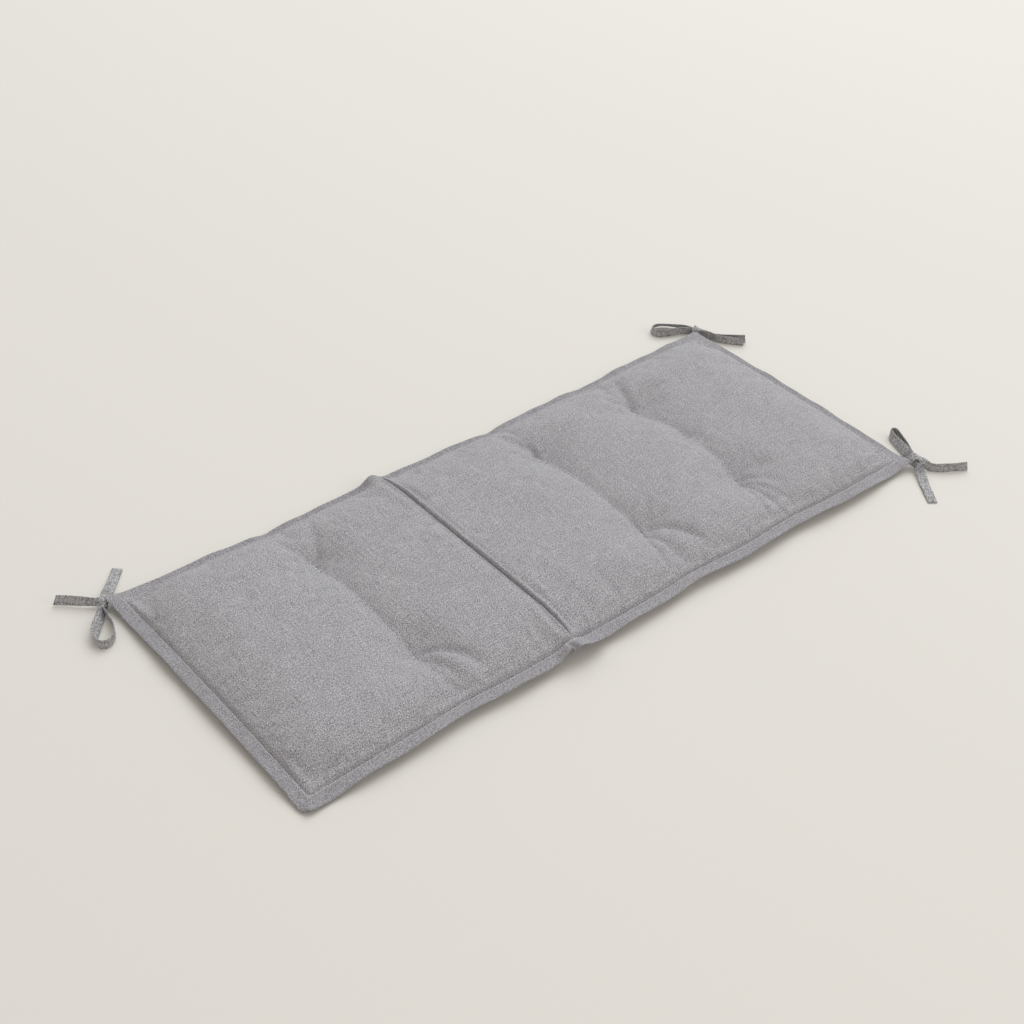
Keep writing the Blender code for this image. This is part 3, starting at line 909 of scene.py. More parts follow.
@dataclass(frozen=True)
class Sewing:
    """The threads that show: the topstitching round the flange and the six tacks' threads."""

    form: PadForm
    stitch: Stitch = Stitch()
    inset: float = 0.0178
    pitch: float = 0.0039
    sunk: float = 0.00005

    def line(self) -> Grid:
        """The stitched line's places on the flat rectangle, all the way round, evenly spaced."""
        half_u = self.form.length / 2 - self.inset
        half_v = self.form.width / 2 - self.inset
        corners = np.array([(-half_u, -half_v), (half_u, -half_v), (half_u, half_v), (-half_u, half_v)])
        places = []
        for start, end in zip(corners, np.roll(corners, -1, axis=0)):
            count = round(float(np.linalg.norm(end - start)) / self.pitch)
            places += [start + (end - start) * (step + 0.5) / count for step in range(count)]
        return np.array(places)

    def surface(self, panel: Panel, u: Grid, v: Grid) -> Grid:
        """Points on a panel's flange, with the same relief as the pad's own mesh."""
        form = self.form
        x, y = form.plan(u, v)
        z = form.top(u, v) + form.relief(u, v) if panel is Panel.TOP else form.under(u, v)
        return np.stack([x, y, z], axis=-1)

    def topstitching(self, material: bpy.types.Material) -> bpy.types.Object:
        """Builds the stitches round the flange, on both faces, as one piece.

        Args:
            material: the thread.

        Returns:
            The stitches.
        """
        line = self.line()
        points: list[Grid] = []
        faces: list[Grid] = []
        count = 0
        for panel, side in ((Panel.TOP, 1.0), (Panel.UNDER, -1.0)):
            u, v = line[:, 0], line[:, 1]
            middle = self.surface(panel, u, v)
            ahead = np.roll(middle, -1, axis=0) - np.roll(middle, 1, axis=0)
            inward = self.surface(panel, u * 0.9995, v * 0.9988) - middle
            for at in range(len(line)):
                forward = ahead[at] / np.linalg.norm(ahead[at])
                up = np.cross(forward, inward[at])
                up = up / np.linalg.norm(up)
                up = up * math.copysign(1.0, up[2] * side)
                made, loops = self.stitch.points(middle[at] - up * self.sunk, forward, up)
                points.append(made)
                faces.append(loops + count)
                count += len(made)
        mesh = mesh_from("flange_topstitching", np.concatenate(points), np.concatenate(faces))
        piece = add_piece("flange_topstitching", mesh, material)
        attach(piece, "root")
        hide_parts("cushion")
        return piece

    def tack_threads(self, pad: bpy.types.Object, material: bpy.types.Material) -> bpy.types.Object:
        """Builds the crossed threads in the pit of each tack, above and below, as one piece.

        Args:
            pad: the finished pad, on whose surface the threads lie.
            material: the thread.

        Returns:
            The threads.
        """
        thread = Stitch(length=0.0070, radius=0.00042, sides=6, bow=0.0012)
        points: list[Grid] = []
        faces: list[Grid] = []
        count = 0
        for number, (_, _, x, y) in enumerate(self.form.tacks()):
            for side in (1.0, -1.0):
                found, place, _, _ = pad.ray_cast(Vector((x, y, 0.1 * side)), Vector((0.0, 0.0, -side)))
                if not found:
                    continue
                for turn in (25.0, 62.0, 118.0):
                    angle = math.radians(turn + 17.0 * number)
                    ahead = np.array([math.cos(angle), math.sin(angle), 0.0])
                    up = np.array([0.0, 0.0, side])
                    made, loops = thread.points(np.array(place) + up * 0.0002, ahead, up)
                    points.append(made)
                    faces.append(loops + count)
                    count += len(made)
        mesh = mesh_from("tack_threads", np.concatenate(points), np.concatenate(faces))
        piece = add_piece("tack_threads", mesh, material)
        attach(piece, "root")
        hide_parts("cushion")
        return piece


@dataclass(frozen=True)
class Strand:
    """One strand of a tie: flat tape along a route.

    Attributes:
        route: the points that the tape's middle passes, each X, Y, Z and the way that its width points.
        gathers: places along the route, as shares of it, where the knot gathers the tape, and over what reach.
        slant: how far the cut end leans, as a share of the width.
        gathered: how wide the tape is where the knot gathers it.
    """

    route: tuple[tuple[Vector, Vector], ...]
    gathers: tuple[tuple[float, float], ...]
    slant: float
    gathered: float


@dataclass(frozen=True)
class Tape:
    """The flat tape that the ties are made of."""

    width: float = 0.0158
    thickness: float = 0.0019
    step: float = 0.0015
    gathered_thickness: float = 0.0034
    section: int = 14
    weave_scale: float = 0.70

    def samples(self, strand: Strand) -> tuple[Grid, Grid]:
        """Even steps along a smooth curve through the route.

        Args:
            strand: the strand.

        Returns:
            Each step's place, and the way that the tape's width points there.
        """
        places = np.array([tuple(place) for place, _ in strand.route])
        widths = np.array([tuple(width) for _, width in strand.route])
        for number in range(1, len(widths)):
            if np.dot(widths[number], widths[number - 1]) < 0.0:
                widths[number] *= -1.0
        fine_places = self.through(places)
        fine_widths = self.through(widths)
        steps = np.linalg.norm(np.diff(fine_places, axis=0), axis=1)
        reached = np.concatenate([[0.0], np.cumsum(steps)])
        count = max(8, round(reached[-1] / self.step))
        wanted = np.linspace(0.0, reached[-1], count + 1)
        pick = [np.interp(wanted, reached, column) for column in fine_places.T]
        turn = [np.interp(wanted, reached, column) for column in fine_widths.T]
        return np.stack(pick, axis=1), np.stack(turn, axis=1)

    @staticmethod
    def through(points: Grid, parts: int = 24) -> Grid:
        """A centripetal-like smooth curve through the points, in small parts."""
        ends = np.concatenate([points[:1], points, points[-1:]])
        fine = []
        for number in range(1, len(ends) - 2):
            before, start, end, after = ends[number - 1:number + 3]
            for part in range(parts):
                t = part / parts
                fine.append(0.5 * (
                    2 * start
                    + (end - before) * t
                    + (2 * before - 5 * start + 4 * end - after) * t * t
                    + (3 * start - before - 3 * end + after) * t ** 3
                ))
        fine.append(points[-1])
        return np.array(fine)

    def build(self, name: str, strand: Strand, material: bpy.types.Material) -> tuple[bpy.types.Object, Grid]:
        """Builds one strand as a closed mesh.

        Args:
            name: the piece's name.
            strand: its route.
            material: its cloth.

        Returns:
            The piece, and the line along its middle.
        """
        middle, widths = self.samples(strand)
        ahead = np.gradient(middle, axis=0)
        ahead /= np.linalg.norm(ahead, axis=1, keepdims=True)
        widths = widths - ahead * np.sum(widths * ahead, axis=1, keepdims=True)
        widths /= np.linalg.norm(widths, axis=1, keepdims=True)
        faces_out = np.cross(ahead, widths)
        count = len(middle)
        share = np.linspace(0.0, 1.0, count)
        gather = np.zeros(count)
        for place, reach in strand.gathers:
            gather = np.maximum(gather, bell(share - place, reach))
        rng = np.random.default_rng(len(name) * 31 + count)
        sway = Ripple(int(rng.integers(1, 9999)), 0.020, 0.070)
        run = share * count * self.step
        wide = self.width + (strand.gathered - self.width) * gather + 0.00025 * sway.along(run)
        thick = self.thickness + (self.gathered_thickness - self.thickness) * gather
        angles = np.linspace(0.0, math.tau, self.section, endpoint=False) + math.tau / self.section / 2
        across = np.sign(np.cos(angles)) * np.abs(np.cos(angles)) ** 0.55
        up = np.sign(np.sin(angles)) * np.abs(np.sin(angles)) ** 0.55
        rings = []
        for at in range(count):
            slant = strand.slant * self.width * smooth(0.93, 1.0, share[at]) if strand.slant else 0.0
            centre = middle[at]
            ring = (
                centre
                + np.outer(across * wide[at] / 2, widths[at])
                + np.outer(up * thick[at] / 2, faces_out[at])
                + np.outer(across * slant, ahead[at])
            )
            rings.append(ring)
        points = np.concatenate(rings)
        sides = self.section
        faces = []
        for at in range(count - 1):
            for side in range(sides):
                after = (side + 1) % sides
                a, b = at * sides + side, at * sides + after
                faces.append((a, b, b + sides, a + sides))
        bm = bmesh.new()
        verts = [bm.verts.new(point) for point in points.tolist()]
        for face in faces:
            bm.faces.new([verts[corner] for corner in face])
        bm.faces.new([verts[side] for side in reversed(range(sides))])
        bm.faces.new([verts[(count - 1) * sides + side] for side in range(sides)])
        bmesh.ops.recalc_face_normals(bm, faces=bm.faces)
        mesh = bpy.data.meshes.new(name)
        bm.to_mesh(mesh)
        bm.free()
        mesh.shade_smooth()
        for face in mesh.polygons:
            if len(face.vertices) > 4:
                face.use_smooth = False
        along = np.repeat(run, sides)
        places = np.stack([along, np.tile(across, count) * self.width / 2, np.tile(up, count) * 0.001], axis=1)
        own_place(mesh, places * self.weave_scale)
        return add_piece(name, mesh, material), middle


@dataclass(frozen=True)
class Bow:
    """A tie in a half bow at one corner: where its knot, its loop and its two ends lie.

    A route's columns are X, Y, Z and lean, the degrees by which the tape leans over from standing on its
    edge (90 is flat).

    Attributes:
        corner: which corner.
        sign: the corner's signs in X and Y.
        knot: the knot's middle.
        axis: the way that the knot's core runs, in degrees.
        loop: the loop's route, from the knot and back to it.
        wrap_end: the route of the end that has gone round the knot.
        loop_end: the route of the end that follows the loop.
        slants: how the two ends are cut.
        tightness: the knot's size, against the largest knot's.
    """

    corner: Corner
    sign: tuple[int, int]
    knot: tuple[float, float, float]
    axis: float
    loop: tuple[tuple[float, float, float, float], ...]
    wrap_end: tuple[tuple[float, float, float, float], ...]
    loop_end: tuple[tuple[float, float, float, float], ...]
    slants: tuple[float, float]
    tightness: float = 1.0


BOWS: tuple[Bow, ...] = (
    Bow(
        Corner.LEFT, (-1, 1), (-0.6055, 0.2490, 0.0068), 58.0,
        loop=(
            (-0.6200, 0.2300, 0.0086, -35), (-0.6370, 0.2120, 0.0084, -48), (-0.6495, 0.1940, 0.0082, -28),
            (-0.6510, 0.1775, 0.0079, 0), (-0.6400, 0.1715, 0.0079, 0), (-0.6270, 0.1800, 0.0079, 0),
            (-0.6185, 0.1960, 0.0081, 0), (-0.6150, 0.2150, 0.0086, 0),
        ),
        wrap_end=(
            (-0.6140, 0.2570, 0.0095, -12), (-0.6260, 0.2675, 0.0095, -16), (-0.6410, 0.2820, 0.0090, -18),
            (-0.6575, 0.2960, 0.0088, -18),
        ),
        loop_end=((-0.5935, 0.2640, 0.0075, 80), (-0.5750, 0.2830, 0.0036, 86), (-0.5500, 0.3100, 0.0014, 90)),
        slants=(0.17, 0.0),
        tightness=0.90,
    ),
    Bow(
        Corner.TOP, (1, 1), (0.6030, 0.2535, 0.0068), 135.0,
        loop=(
            (0.5930, 0.2760, 0.0084, 30), (0.5800, 0.2930, 0.0079, 42), (0.5650, 0.3060, 0.0079, 42),
            (0.5490, 0.3090, 0.0079, 25), (0.5390, 0.3000, 0.0079, 0), (0.5430, 0.2870, 0.0079, 0),
            (0.5600, 0.2770, 0.0081, 0), (0.5800, 0.2690, 0.0086, 0),
        ),
        wrap_end=((0.6180, 0.2330, 0.0088, -60), (0.6300, 0.2100, 0.0086, -38), (0.6570, 0.1790, 0.0083, 4)),
        loop_end=((0.6095, 0.2340, 0.0084, 0), (0.6200, 0.2060, 0.0078, 0), (0.6480, 0.1740, 0.0078, 0)),
        slants=(-0.10, 0.0),
        tightness=0.90,
    ),
    Bow(
        Corner.RIGHT, (1, -1), (0.6040, -0.2502, 0.0145), 56.0,
        loop=(
            (0.6180, -0.2300, 0.0100, -35), (0.6260, -0.2050, 0.0092, -40), (0.6330, -0.1830, 0.0086, -25),
            (0.6430, -0.1705, 0.0080, 0), (0.6510, -0.1750, 0.0080, 0), (0.6450, -0.1940, 0.0084, -14),
            (0.6290, -0.2230, 0.0094, -14),
        ),
        wrap_end=((0.6190, -0.2720, 0.0080, 6), (0.6420, -0.2930, 0.0084, 8), (0.6710, -0.3090, 0.0081, 12)),
        loop_end=((0.5960, -0.2720, 0.0070, 80), (0.5790, -0.2950, 0.0032, 87), (0.5540, -0.3310, 0.0014, 90)),
        slants=(-0.08, 0.0),
        tightness=1.24,
    ),
)


@dataclass(frozen=True)
class Tie:
    """A tie at one corner of the pad, made of two strands of tape and tied in a half bow."""

    form: PadForm
    tape: Tape
    bow: Bow
    core: tuple[float, float] = (0.0046, 0.0056)
    outer: tuple[float, float] = (0.0060, 0.0072)
    drift: float = 0.0050
    turns: float = 1.36
    wrap_gathered: float = 0.0098
    loop_gathered: float = 0.0076

    @staticmethod
    def leaning(points: tuple[tuple[float, float, float, float], ...]) -> list[tuple[Vector, Vector]]:
        """A route's places, each with the way that the tape's width points."""
        places = [Vector(point[:3]) for point in points]
        made = []
        for number, place in enumerate(places):
            ahead = places[min(number + 1, len(places) - 1)] - places[max(number - 1, 0)]
            level = Vector((0.0, 0.0, 1.0)).cross(ahead).normalized()
            upright = ahead.cross(level).normalized()
            lean = math.radians(points[number][3])
            made.append((place, upright * math.cos(lean) + level * math.sin(lean)))
        return made

    def root(self, lift: float) -> list[tuple[Vector, Vector]]:
        """The flat start of a strand, sewn under the flange's round corner."""
        sign_x, sign_y = self.bow.sign
        out = Vector((sign_x, sign_y, 0.0)).normalized()
        inward = self.form.tied_round * (math.sqrt(2.0) - 1.0)
        corner = Vector((sign_x * self.form.length / 2, sign_y * self.form.width / 2, 0.0))
        tip = corner - out * inward
        level = Vector((0.0, 0.0, 1.0)).cross(out)
        height = float(self.form.flange_height(tip.x, tip.y)) - 0.0030 + lift
        return [
            (tip - out * 0.0035 + Vector((0.0, 0.0, height)), level),
            (tip + out * 0.0025 + Vector((0.0, 0.0, height)), level),
        ]

    def wrap(self) -> list[tuple[Vector, Vector]]:
        """The turn and a bit that one strand takes round the knot's core."""
        angle = math.radians(self.bow.axis)
        axis = Vector((math.cos(angle), math.sin(angle), 0.0))
        aside = Vector((-axis.y, axis.x, 0.0))
        knot = Vector(self.bow.knot)
        sign_x, sign_y = self.bow.sign
        out = Vector((sign_x, sign_y, 0.0))
        if aside.dot(out) < 0.0:
            aside = -aside
        made = []
        count = 15
        for step in range(count + 1):
            share = step / count
            turned = math.radians(175.0 - 360.0 * self.turns * share)
            wide = (self.core[0] + (self.outer[0] - self.core[0]) * share) * self.bow.tightness
            tall = (self.core[1] + (self.outer[1] - self.core[1]) * share) * self.bow.tightness
            place = knot + aside * math.cos(turned) * wide + Vector((0.0, 0.0, math.sin(turned) * tall))
            place += axis * self.drift * (share - 0.5)
            place.z = max(place.z, 0.0012)
            made.append((place, axis))
        return made

    def strands(self) -> tuple[Strand, Strand]:
        """The strand that goes round the knot, and the strand that makes the loop."""
        knot = Vector(self.bow.knot)
        upright = Vector((0.0, 0.0, 1.0))
        wrap_route = self.root(0.0012) + self.wrap() + self.leaning(self.bow.wrap_end)
        loop = self.leaning(self.bow.loop)
        loop_end = self.leaning(self.bow.loop_end)
        angle = math.radians(self.bow.axis)
        axis = Vector((math.cos(angle), math.sin(angle), 0.0))
        aside = Vector((-axis.y, axis.x, 0.0)) * 0.0016
        way_out = (loop[0][0] - knot).normalized()
        way_end = (loop_end[0][0] - knot).normalized()
        loop_route = (
            self.root(-0.0010)
            + [(knot - way_out * 0.003 - aside, upright), (knot + way_out * 0.006 - aside, upright)]
            + loop
            + [(knot + way_out * 0.006 + aside, upright), (knot + way_end * 0.004 + aside, upright)]
            + loop_end
        )
        return (
            Strand(tuple(wrap_route), (), self.bow.slants[0], self.wrap_gathered),
            Strand(tuple(loop_route), (), self.bow.slants[1], self.loop_gathered),
        )

    def build(self, material: bpy.types.Material) -> list[bpy.types.Object]:
        """Args:
            material: the tape's cloth.

        Returns:
            The two pieces.
        """
        name = f"tie_{self.bow.corner.value}"
        pieces = []
        for part, strand in zip(("wrap", "loop"), self.strands()):
            strand = replace(strand, gathers=self.gathers(strand))
            piece, line = self.tape.build(f"{name}_{part}_strand", strand, material)
            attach(piece, "root")
            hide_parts(name)
            length = float(np.sum(np.linalg.norm(np.diff(line, axis=0), axis=1)))
            LOG.info("%s strand of %s is %.0f mm long", part, name, length * 1000.0)
            pieces.append(piece)
        return pieces

    def gathers(self, strand: Strand) -> tuple[tuple[float, float], ...]:
        """Where along a strand the knot gathers it: wherever its route comes close to the knot."""
        middle, _ = self.tape.samples(strand)
        knot = np.array(self.bow.knot)
        away = np.linalg.norm(middle - knot, axis=1)
        length = len(middle) * self.tape.step
        near = np.flatnonzero(away < 0.0085)
        if len(near) == 0:
            return ()
        groups = np.split(near, np.flatnonzero(np.diff(near) > 3) + 1)
        return tuple(
            (float(group.mean()) / len(middle), (len(group) * self.tape.step / 2 + 0.0045) / length)
            for group in groups
        )


class NodeWriter:
    """Adds nodes to a node tree and joins them, so that a material reads as a list of steps."""

    def __init__(self, tree: bpy.types.NodeTree) -> None:
        """Keeps the tree that nodes are added to."""
        self.tree = tree

    def add(self, kind: str, inputs: dict[str | int, object] | None = None, **settings: object) -> bpy.types.Node:
        """Adds a node, with its settings and its inputs.

        Args:
            kind: the node's type name.
            inputs: values or other nodes' outputs, by input name or number.
            **settings: the node's own properties.

        Returns:
            The new node.
        """
        node = self.tree.nodes.new(kind)
        for key, value in settings.items():
            setattr(node, key, value)
        for key, value in (inputs or {}).items():
            self.put(node.inputs[key], value)
        return node

    def put(self, socket: bpy.types.NodeSocket, value: object) -> None:
        """Joins an output to an input, or sets the input's value."""
        if isinstance(value, bpy.types.NodeSocket):
            self.tree.links.new(value, socket)
        else:
            socket.default_value = value

    def math(self, operation: str, *values: object) -> bpy.types.NodeSocket:
        """A Math node's output."""
        node = self.add("ShaderNodeMath", operation=operation)
        for socket, value in zip(node.inputs, values):
            self.put(socket, value)
        return node.outputs[0]

    def noise(self, vector: object, scale: float, detail: float = 2.0, roughness: float = 0.5) -> bpy.types.NodeSocket:
        """A Noise Texture's value at a vector."""
        node = self.add(
            "ShaderNodeTexNoise",
            {"Vector": vector, "Scale": scale, "Detail": detail, "Roughness": roughness},
            noise_dimensions="3D",
        )
        return node.outputs["Fac"]

    def stretched(self, vector: object, scale: tuple[float, float, float]) -> bpy.types.NodeSocket:
        """A vector with each axis scaled by its own number."""
        node = self.add("ShaderNodeVectorMath", {0: vector, 1: scale}, operation="MULTIPLY")
        return node.outputs["Vector"]

    def ramp(self, value: object, low: float, high: float) -> bpy.types.NodeSocket:
        """A value spread from low..high to 0..1, with soft ends."""
        node = self.add(
            "ShaderNodeMapRange",
            {"Value": value, "From Min": low, "From Max": high},
            interpolation_type="SMOOTHSTEP",
        )
        return node.outputs["Result"]

    def blend(self, share: object, first: object, second: object) -> bpy.types.NodeSocket:
        """A colour between two others."""
        node = self.add("ShaderNodeMix", data_type="RGBA")
        for socket, value in zip((node.inputs[0], node.inputs[6], node.inputs[7]), (share, first, second)):
            self.put(socket, value)
        return node.outputs[2]


@dataclass(frozen=True)
class MelangeWeave:
    """The shader group for grey melange cloth: its flecked yarns, its plain weave and its soft fuzz.

    Attributes:
        pitch: the spacing of the yarns.
        fleck_length: how long a fleck of one shade is along its yarn.
        fleck_width: how wide it is.
    """

    pitch: float = 0.0011
    fleck_length: float = 0.0024
    fleck_width: float = 0.00100
    slub_length: float = 0.0300

    def build(self) -> bpy.types.NodeTree:
        """Builds the group once.

        Returns:
            The group, with a place, three yarn colours and a contrast in, and colour, roughness and height out.
        """
        group = bpy.data.node_groups.new("melange_weave", "ShaderNodeTree")
        face = group.interface
        face.new_socket("Place", in_out="INPUT", socket_type="NodeSocketVector")
        for name in ("Dark Yarn", "Middle Yarn", "Light Yarn"):
            face.new_socket(name, in_out="INPUT", socket_type="NodeSocketColor")
        face.new_socket("Contrast", in_out="INPUT", socket_type="NodeSocketFloat")
        face.new_socket("Colour", in_out="OUTPUT", socket_type="NodeSocketColor")
        face.new_socket("Roughness", in_out="OUTPUT", socket_type="NodeSocketFloat")
        face.new_socket("Height", in_out="OUTPUT", socket_type="NodeSocketFloat")
        write = NodeWriter(group)
        given = write.add("NodeGroupInput")
        place = given.outputs["Place"]
        per_length, per_width = 1.0 / self.fleck_length, 1.0 / self.fleck_width
        warp = write.noise(write.stretched(place, (per_width, per_length, per_width)), 1.0, 2.0, 0.6)
        weft = write.noise(write.stretched(place, (per_length, per_width, per_width)), 1.0, 2.0, 0.6)
        over = self.over_under(write, place)
        fleck = write.add("ShaderNodeMix", {0: over, 2: warp, 3: weft}, data_type="FLOAT").outputs[0]
        broad = write.noise(place, 9.0, 3.0, 0.55)
        middle = write.math("SUBTRACT", fleck, 0.5)
        strong = write.math("MULTIPLY", middle, given.outputs["Contrast"])
        shade = write.math("ADD", strong, self.slubs(write, place))
        shade = write.math("ADD", shade, write.math("MULTIPLY", write.math("SUBTRACT", broad, 0.5), 0.09))
        light = write.ramp(shade, 0.5, 1.0)
        dark = write.ramp(write.math("SUBTRACT", 1.0, shade), 0.5, 1.0)
        colour = write.blend(light, given.outputs["Middle Yarn"], given.outputs["Light Yarn"])
        colour = write.blend(dark, colour, given.outputs["Dark Yarn"])
        out = write.add("NodeGroupOutput")
        write.put(out.inputs["Colour"], colour)
        rough = write.math("ADD", 0.84, write.math("MULTIPLY", fleck, 0.14))
        write.put(out.inputs["Roughness"], rough)
        write.put(out.inputs["Height"], self.relief(write, place, fleck))
        return group

    def slubs(self, write: NodeWriter, place: bpy.types.NodeSocket) -> bpy.types.NodeSocket:
        """Long thin streaks along both yarns, where a yarn runs a little lighter or darker, about 0.5."""
        per_length, per_width = 1.0 / self.slub_length, 1.0 / self.pitch
        warp = write.noise(write.stretched(place, (per_width, per_length, per_width)), 1.0, 1.0)
        weft = write.noise(write.stretched(place, (per_length, per_width, per_width)), 1.0, 1.0)
        both = write.math("SUBTRACT", write.math("ADD", warp, weft), 1.0)
        return write.math("ADD", write.math("MULTIPLY", both, 0.55), 0.5)

    def over_under(self, write: NodeWriter, place: bpy.types.NodeSocket) -> bpy.types.NodeSocket:
        """A mask that is 1 where the weft lies on top, in a plain weave's squares."""
        checks = write.add("ShaderNodeTexChecker", {"Vector": place, "Scale": 1.0 / self.pitch})
        return checks.outputs["Fac"]

    def relief(self, write: NodeWriter, place: bpy.types.NodeSocket, fleck: bpy.types.NodeSocket) -> bpy.types.NodeSocket:
        """The weave's height: round yarns in both directions, and fuzz."""
        parts = write.add("ShaderNodeSeparateXYZ", {"Vector": place})
        waves = []
        for axis in ("X", "Y"):
            turned = write.math("MULTIPLY", parts.outputs[axis], math.pi / self.pitch)
            waves.append(write.math("ABSOLUTE", write.math("SINE", turned)))
        yarns = write.math("MULTIPLY", waves[0], waves[1])
        fuzz = write.noise(place, 900.0, 3.0, 0.6)
        soft = write.math("ADD", write.math("MULTIPLY", fleck, 0.35), write.math("MULTIPLY", fuzz, 0.35))
        return write.math("ADD", write.math("MULTIPLY", yarns, 0.5), soft)


@dataclass(frozen=True)
class MelangeCloth:
    """A finish of grey melange cloth.

    Attributes:
        name: the material's name.
        dark: the darkest yarn.
        middle: the usual yarn.
        light: the lightest yarn.
        contrast: how strongly the flecks stand out.
        bump: how strongly the weave stands up.
        sheen: how much the fuzz catches light at a slant.
        painted_flange_shade: painted shade, a darker tint multiplied into the cloth's colour on the stitched flange.
    """

    name: str
    dark: Colour
    middle: Colour
    light: Colour
    contrast: float
    bump: float
    sheen: float
    painted_flange_shade: Colour = (1.0, 1.0, 1.0, 1.0)

    def build(self, weave: bpy.types.NodeTree) -> bpy.types.Material:
        """Builds the material.

        Args:
            weave: the melange weave's group.

        Returns:
            The material.
        """
        material = bpy.data.materials.new(self.name)
        material.use_nodes = True
        write = NodeWriter(material.node_tree)
        shader = material.node_tree.nodes["Principled BSDF"]
        place = write.add("ShaderNodeAttribute", attribute_name="cloth_place")
        cloth = write.add("ShaderNodeGroup", node_tree=weave)
        write.put(cloth.inputs["Place"], place.outputs["Vector"])
        for socket, value in (
            ("Dark Yarn", self.dark),
            ("Middle Yarn", self.middle),
            ("Light Yarn", self.light),
            ("Contrast", self.contrast),
        ):
            write.put(cloth.inputs[socket], value)
        bump = write.add("ShaderNodeBump", {"Strength": self.bump, "Distance": 0.0004, "Height": cloth.outputs["Height"]})
        # Painted shade: the flange mask multiplies the cloth's colour by the darker tint.
        mask = write.add("ShaderNodeAttribute", attribute_name="painted_flange_shade")
        tint = write.add("ShaderNodeMix", data_type="RGBA", blend_type="MULTIPLY")
        for socket, value in ((0, mask.outputs["Fac"]), (6, cloth.outputs["Colour"]), (7, self.painted_flange_shade)):
            write.put(tint.inputs[socket], value)
        write.put(shader.inputs["Base Color"], tint.outputs[2])
        write.put(shader.inputs["Roughness"], cloth.outputs["Roughness"])
        write.put(shader.inputs["Normal"], bump.outputs["Normal"])
        shader.inputs["Specular IOR Level"].default_value = 0.18
        shader.inputs["Sheen Weight"].default_value = self.sheen
        shader.inputs["Sheen Roughness"].default_value = 0.6
        return material


@dataclass(frozen=True)
class ThreadFinish:
    """The sewing thread: pale grey, with the twist of its plies."""

    name: str = "sewing_thread"
    colour: Colour = (0.86, 0.86, 0.86, 1.0)
    shade: Colour = (0.68, 0.68, 0.69, 1.0)
    twist: float = 1500.0

    def build(self) -> bpy.types.Material:
        """Builds the material."""
        material = bpy.data.materials.new(self.name)
        material.use_nodes = True
        write = NodeWriter(material.node_tree)
        shader = material.node_tree.nodes["Principled BSDF"]
        place = write.add("ShaderNodeTexCoord").outputs["Object"]
        plies = write.noise(place, self.twist, 1.0)
        write.put(shader.inputs["Base Color"], write.blend(plies, self.shade, self.colour))
        shader.inputs["Roughness"].default_value = 0.6
        bump = write.add("ShaderNodeBump", {"Strength": 0.3, "Distance": 0.0002, "Height": plies})
        write.put(shader.inputs["Normal"], bump.outputs["Normal"])
        return material


@dataclass(frozen=True)
class PaleFloor:
    """The plain pale floor."""

    colour: Colour = (0.775, 0.757, 0.716, 1.0)
    size: float = 30.0

    def build(self) -> bpy.types.Object:
        """Lays the floor."""
        bpy.ops.mesh.primitive_plane_add(size=self.size, location=(0.0, 0.0, -0.0002))
        floor = bpy.context.object
        floor.name = "pale_floor"
        material = bpy.data.materials.new("pale_floor")
        material.use_nodes = True
        shader = material.node_tree.nodes["Principled BSDF"]
        write = NodeWriter(material.node_tree)
        place = write.add("ShaderNodeTexCoord").outputs["Object"]
        grain = write.noise(place, 260.0, 3.0)
        darker = tuple(part * 0.985 for part in self.colour[:3]) + (1.0,)
        write.put(shader.inputs["Base Color"], write.blend(grain, darker, self.colour))
        shader.inputs["Roughness"].default_value = 0.95
        shader.inputs["Specular IOR Level"].default_value = 0.1
        floor.data.materials.append(material)
        return floor


@dataclass(frozen=True)
class SoftLight:
    """One large soft lamp.

    Attributes:
        name: the lamp's name.
        place: where it hangs.
        aim: what it points at.
        size: its two sides.
        power: its power in watts.
        colour: its colour.
    """

    name: str
    place: tuple[float, float, float]
    aim: tuple[float, float, float]
    size: tuple[float, float]
    power: float
    colour: tuple[float, float, float]

    def build(self) -> bpy.types.Object:
        """Hangs the lamp."""
        data = bpy.data.lights.new(self.name, "AREA")
        data.shape = "RECTANGLE"
        data.size, data.size_y = self.size
        data.energy = self.power
        data.color = self.colour
        lamp = bpy.data.objects.new(self.name, data)
        lamp.location = self.place
        toward = Vector(self.aim) - Vector(self.place)
        lamp.rotation_euler = toward.to_track_quat("-Z", "Y").to_euler()
        bpy.context.scene.collection.objects.link(lamp)
        return lamp


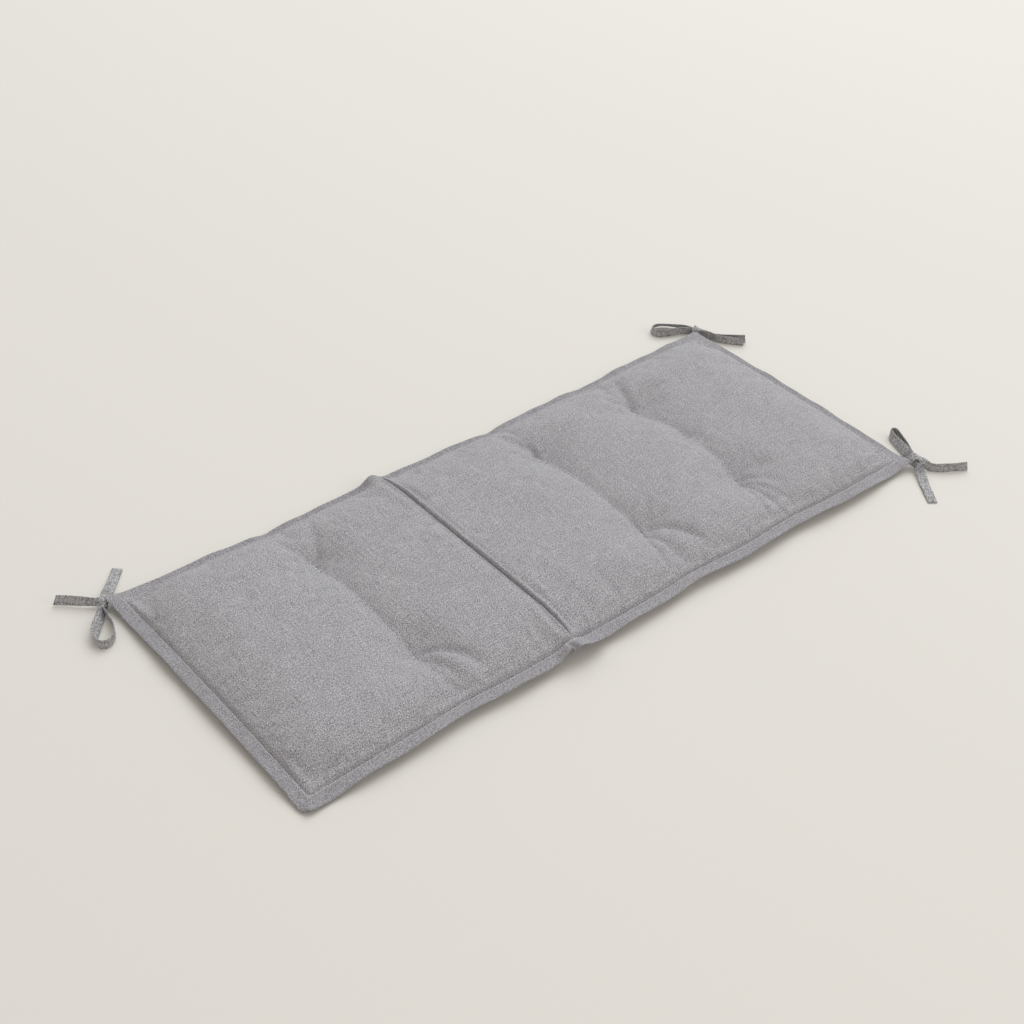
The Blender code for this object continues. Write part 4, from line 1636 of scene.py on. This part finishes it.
@dataclass(frozen=True)
class Studio:
    """The camera, the lamps and the floor.

    Attributes:
        place: where the camera stands.
        yaw: which way it looks, in degrees from +X.
        pitch: how far it looks down, in degrees.
        roll: how far it is turned about its own line of sight, in degrees.
        focal: its focal length in pixels of the picture.
        picture: the picture's width in pixels.
        ambient: the colour of the light from all round.
        ambient_strength: its strength.
        lamps: the soft lamps.
    """

    place: tuple[float, float, float] = (-1.2866, -1.3633, 1.5509)
    yaw: float = 47.88
    pitch: float = 38.93
    roll: float = 3.10
    focal: float = 1577.3
    picture: int = 1024
    sensor: float = 36.0
    ambient: Colour = (1.0, 0.935, 0.885, 1.0)
    ambient_strength: float = 0.56
    lamps: tuple[SoftLight, ...] = (
        SoftLight("key_lamp", (4.9, 3.0, 7.6), (0.0, 0.0, 0.0), (9.0, 9.0), 568.0, (0.975, 1.035, 1.065)),
        SoftLight("fill_lamp", (2.6, -4.2, 3.4), (0.0, 0.0, 0.0), (3.0, 3.0), 40.0, (1.0, 0.985, 0.965)),
    )

    def camera(self) -> bpy.types.Object:
        """Sets up the camera at the picture's angle.

        Returns:
            The camera.
        """
        yaw, pitch, roll = (math.radians(angle) for angle in (self.yaw, self.pitch, self.roll))
        ahead = Vector((math.cos(yaw) * math.cos(pitch), math.sin(yaw) * math.cos(pitch), -math.sin(pitch)))
        right = Vector((math.sin(yaw), -math.cos(yaw), 0.0))
        up = right.cross(ahead)
        right_rolled = right * math.cos(roll) + up * math.sin(roll)
        up_rolled = up * math.cos(roll) - right * math.sin(roll)
        data = bpy.data.cameras.new("picture_camera")
        data.sensor_width = self.sensor
        data.lens = self.focal * self.sensor / self.picture
        camera = bpy.data.objects.new("picture_camera", data)
        turned = Matrix((right_rolled, up_rolled, -ahead)).transposed().to_4x4()
        camera.matrix_world = Matrix.Translation(Vector(self.place)) @ turned
        bpy.context.scene.collection.objects.link(camera)
        bpy.context.scene.camera = camera
        return camera

    def light(self) -> None:
        """Sets the light from all round and hangs the lamps."""
        world = bpy.data.worlds.new("soft_surround")
        world.use_nodes = True
        background = world.node_tree.nodes["Background"]
        background.inputs["Color"].default_value = self.ambient
        background.inputs["Strength"].default_value = self.ambient_strength
        bpy.context.scene.world = world
        for lamp in self.lamps:
            lamp.build()
        bpy.context.scene.view_settings.view_transform = "Standard"


def main() -> None:
    """Builds the studio, the pad, its sewing and its ties, in that order."""
    logging.basicConfig(level=logging.INFO, format="%(message)s")
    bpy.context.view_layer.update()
    studio = Studio()
    studio.camera()
    studio.light()
    PaleFloor().build()
    weave = MelangeWeave().build()
    pad_cloth = MelangeCloth(
        "cushion_melange", (0.125, 0.122, 0.138, 1.0), (0.330, 0.325, 0.347, 1.0), (0.68, 0.67, 0.69, 1.0),
        # The last tint is painted shade, which darkens the pad's flange.
        contrast=4.0, bump=0.28, sheen=0.14, painted_flange_shade=(0.885, 0.882, 0.888, 1.0),
    ).build(weave)
    tie_cloth = MelangeCloth(
        "tie_melange", (0.115, 0.116, 0.119, 1.0), (0.322, 0.322, 0.330, 1.0), (0.68, 0.68, 0.69, 1.0),
        contrast=2.9, bump=0.30, sheen=0.10,
    ).build(weave)
    thread = ThreadFinish().build()
    form = PadForm()
    for bow in BOWS:
        for piece in Tie(form, Tape(), bow).build(tie_cloth):
            LOG.info("made %s", piece.name)
    pad = Cushion(form, Swelling()).build(pad_cloth)
    LOG.info("made %s with %d faces", pad.name, len(pad.data.polygons))
    sewing = Sewing(form)
    for piece in (sewing.topstitching(thread), sewing.tack_threads(pad, thread)):
        LOG.info("made %s with %d faces", piece.name, len(piece.data.polygons))


if __name__ == "__main__":
    main()
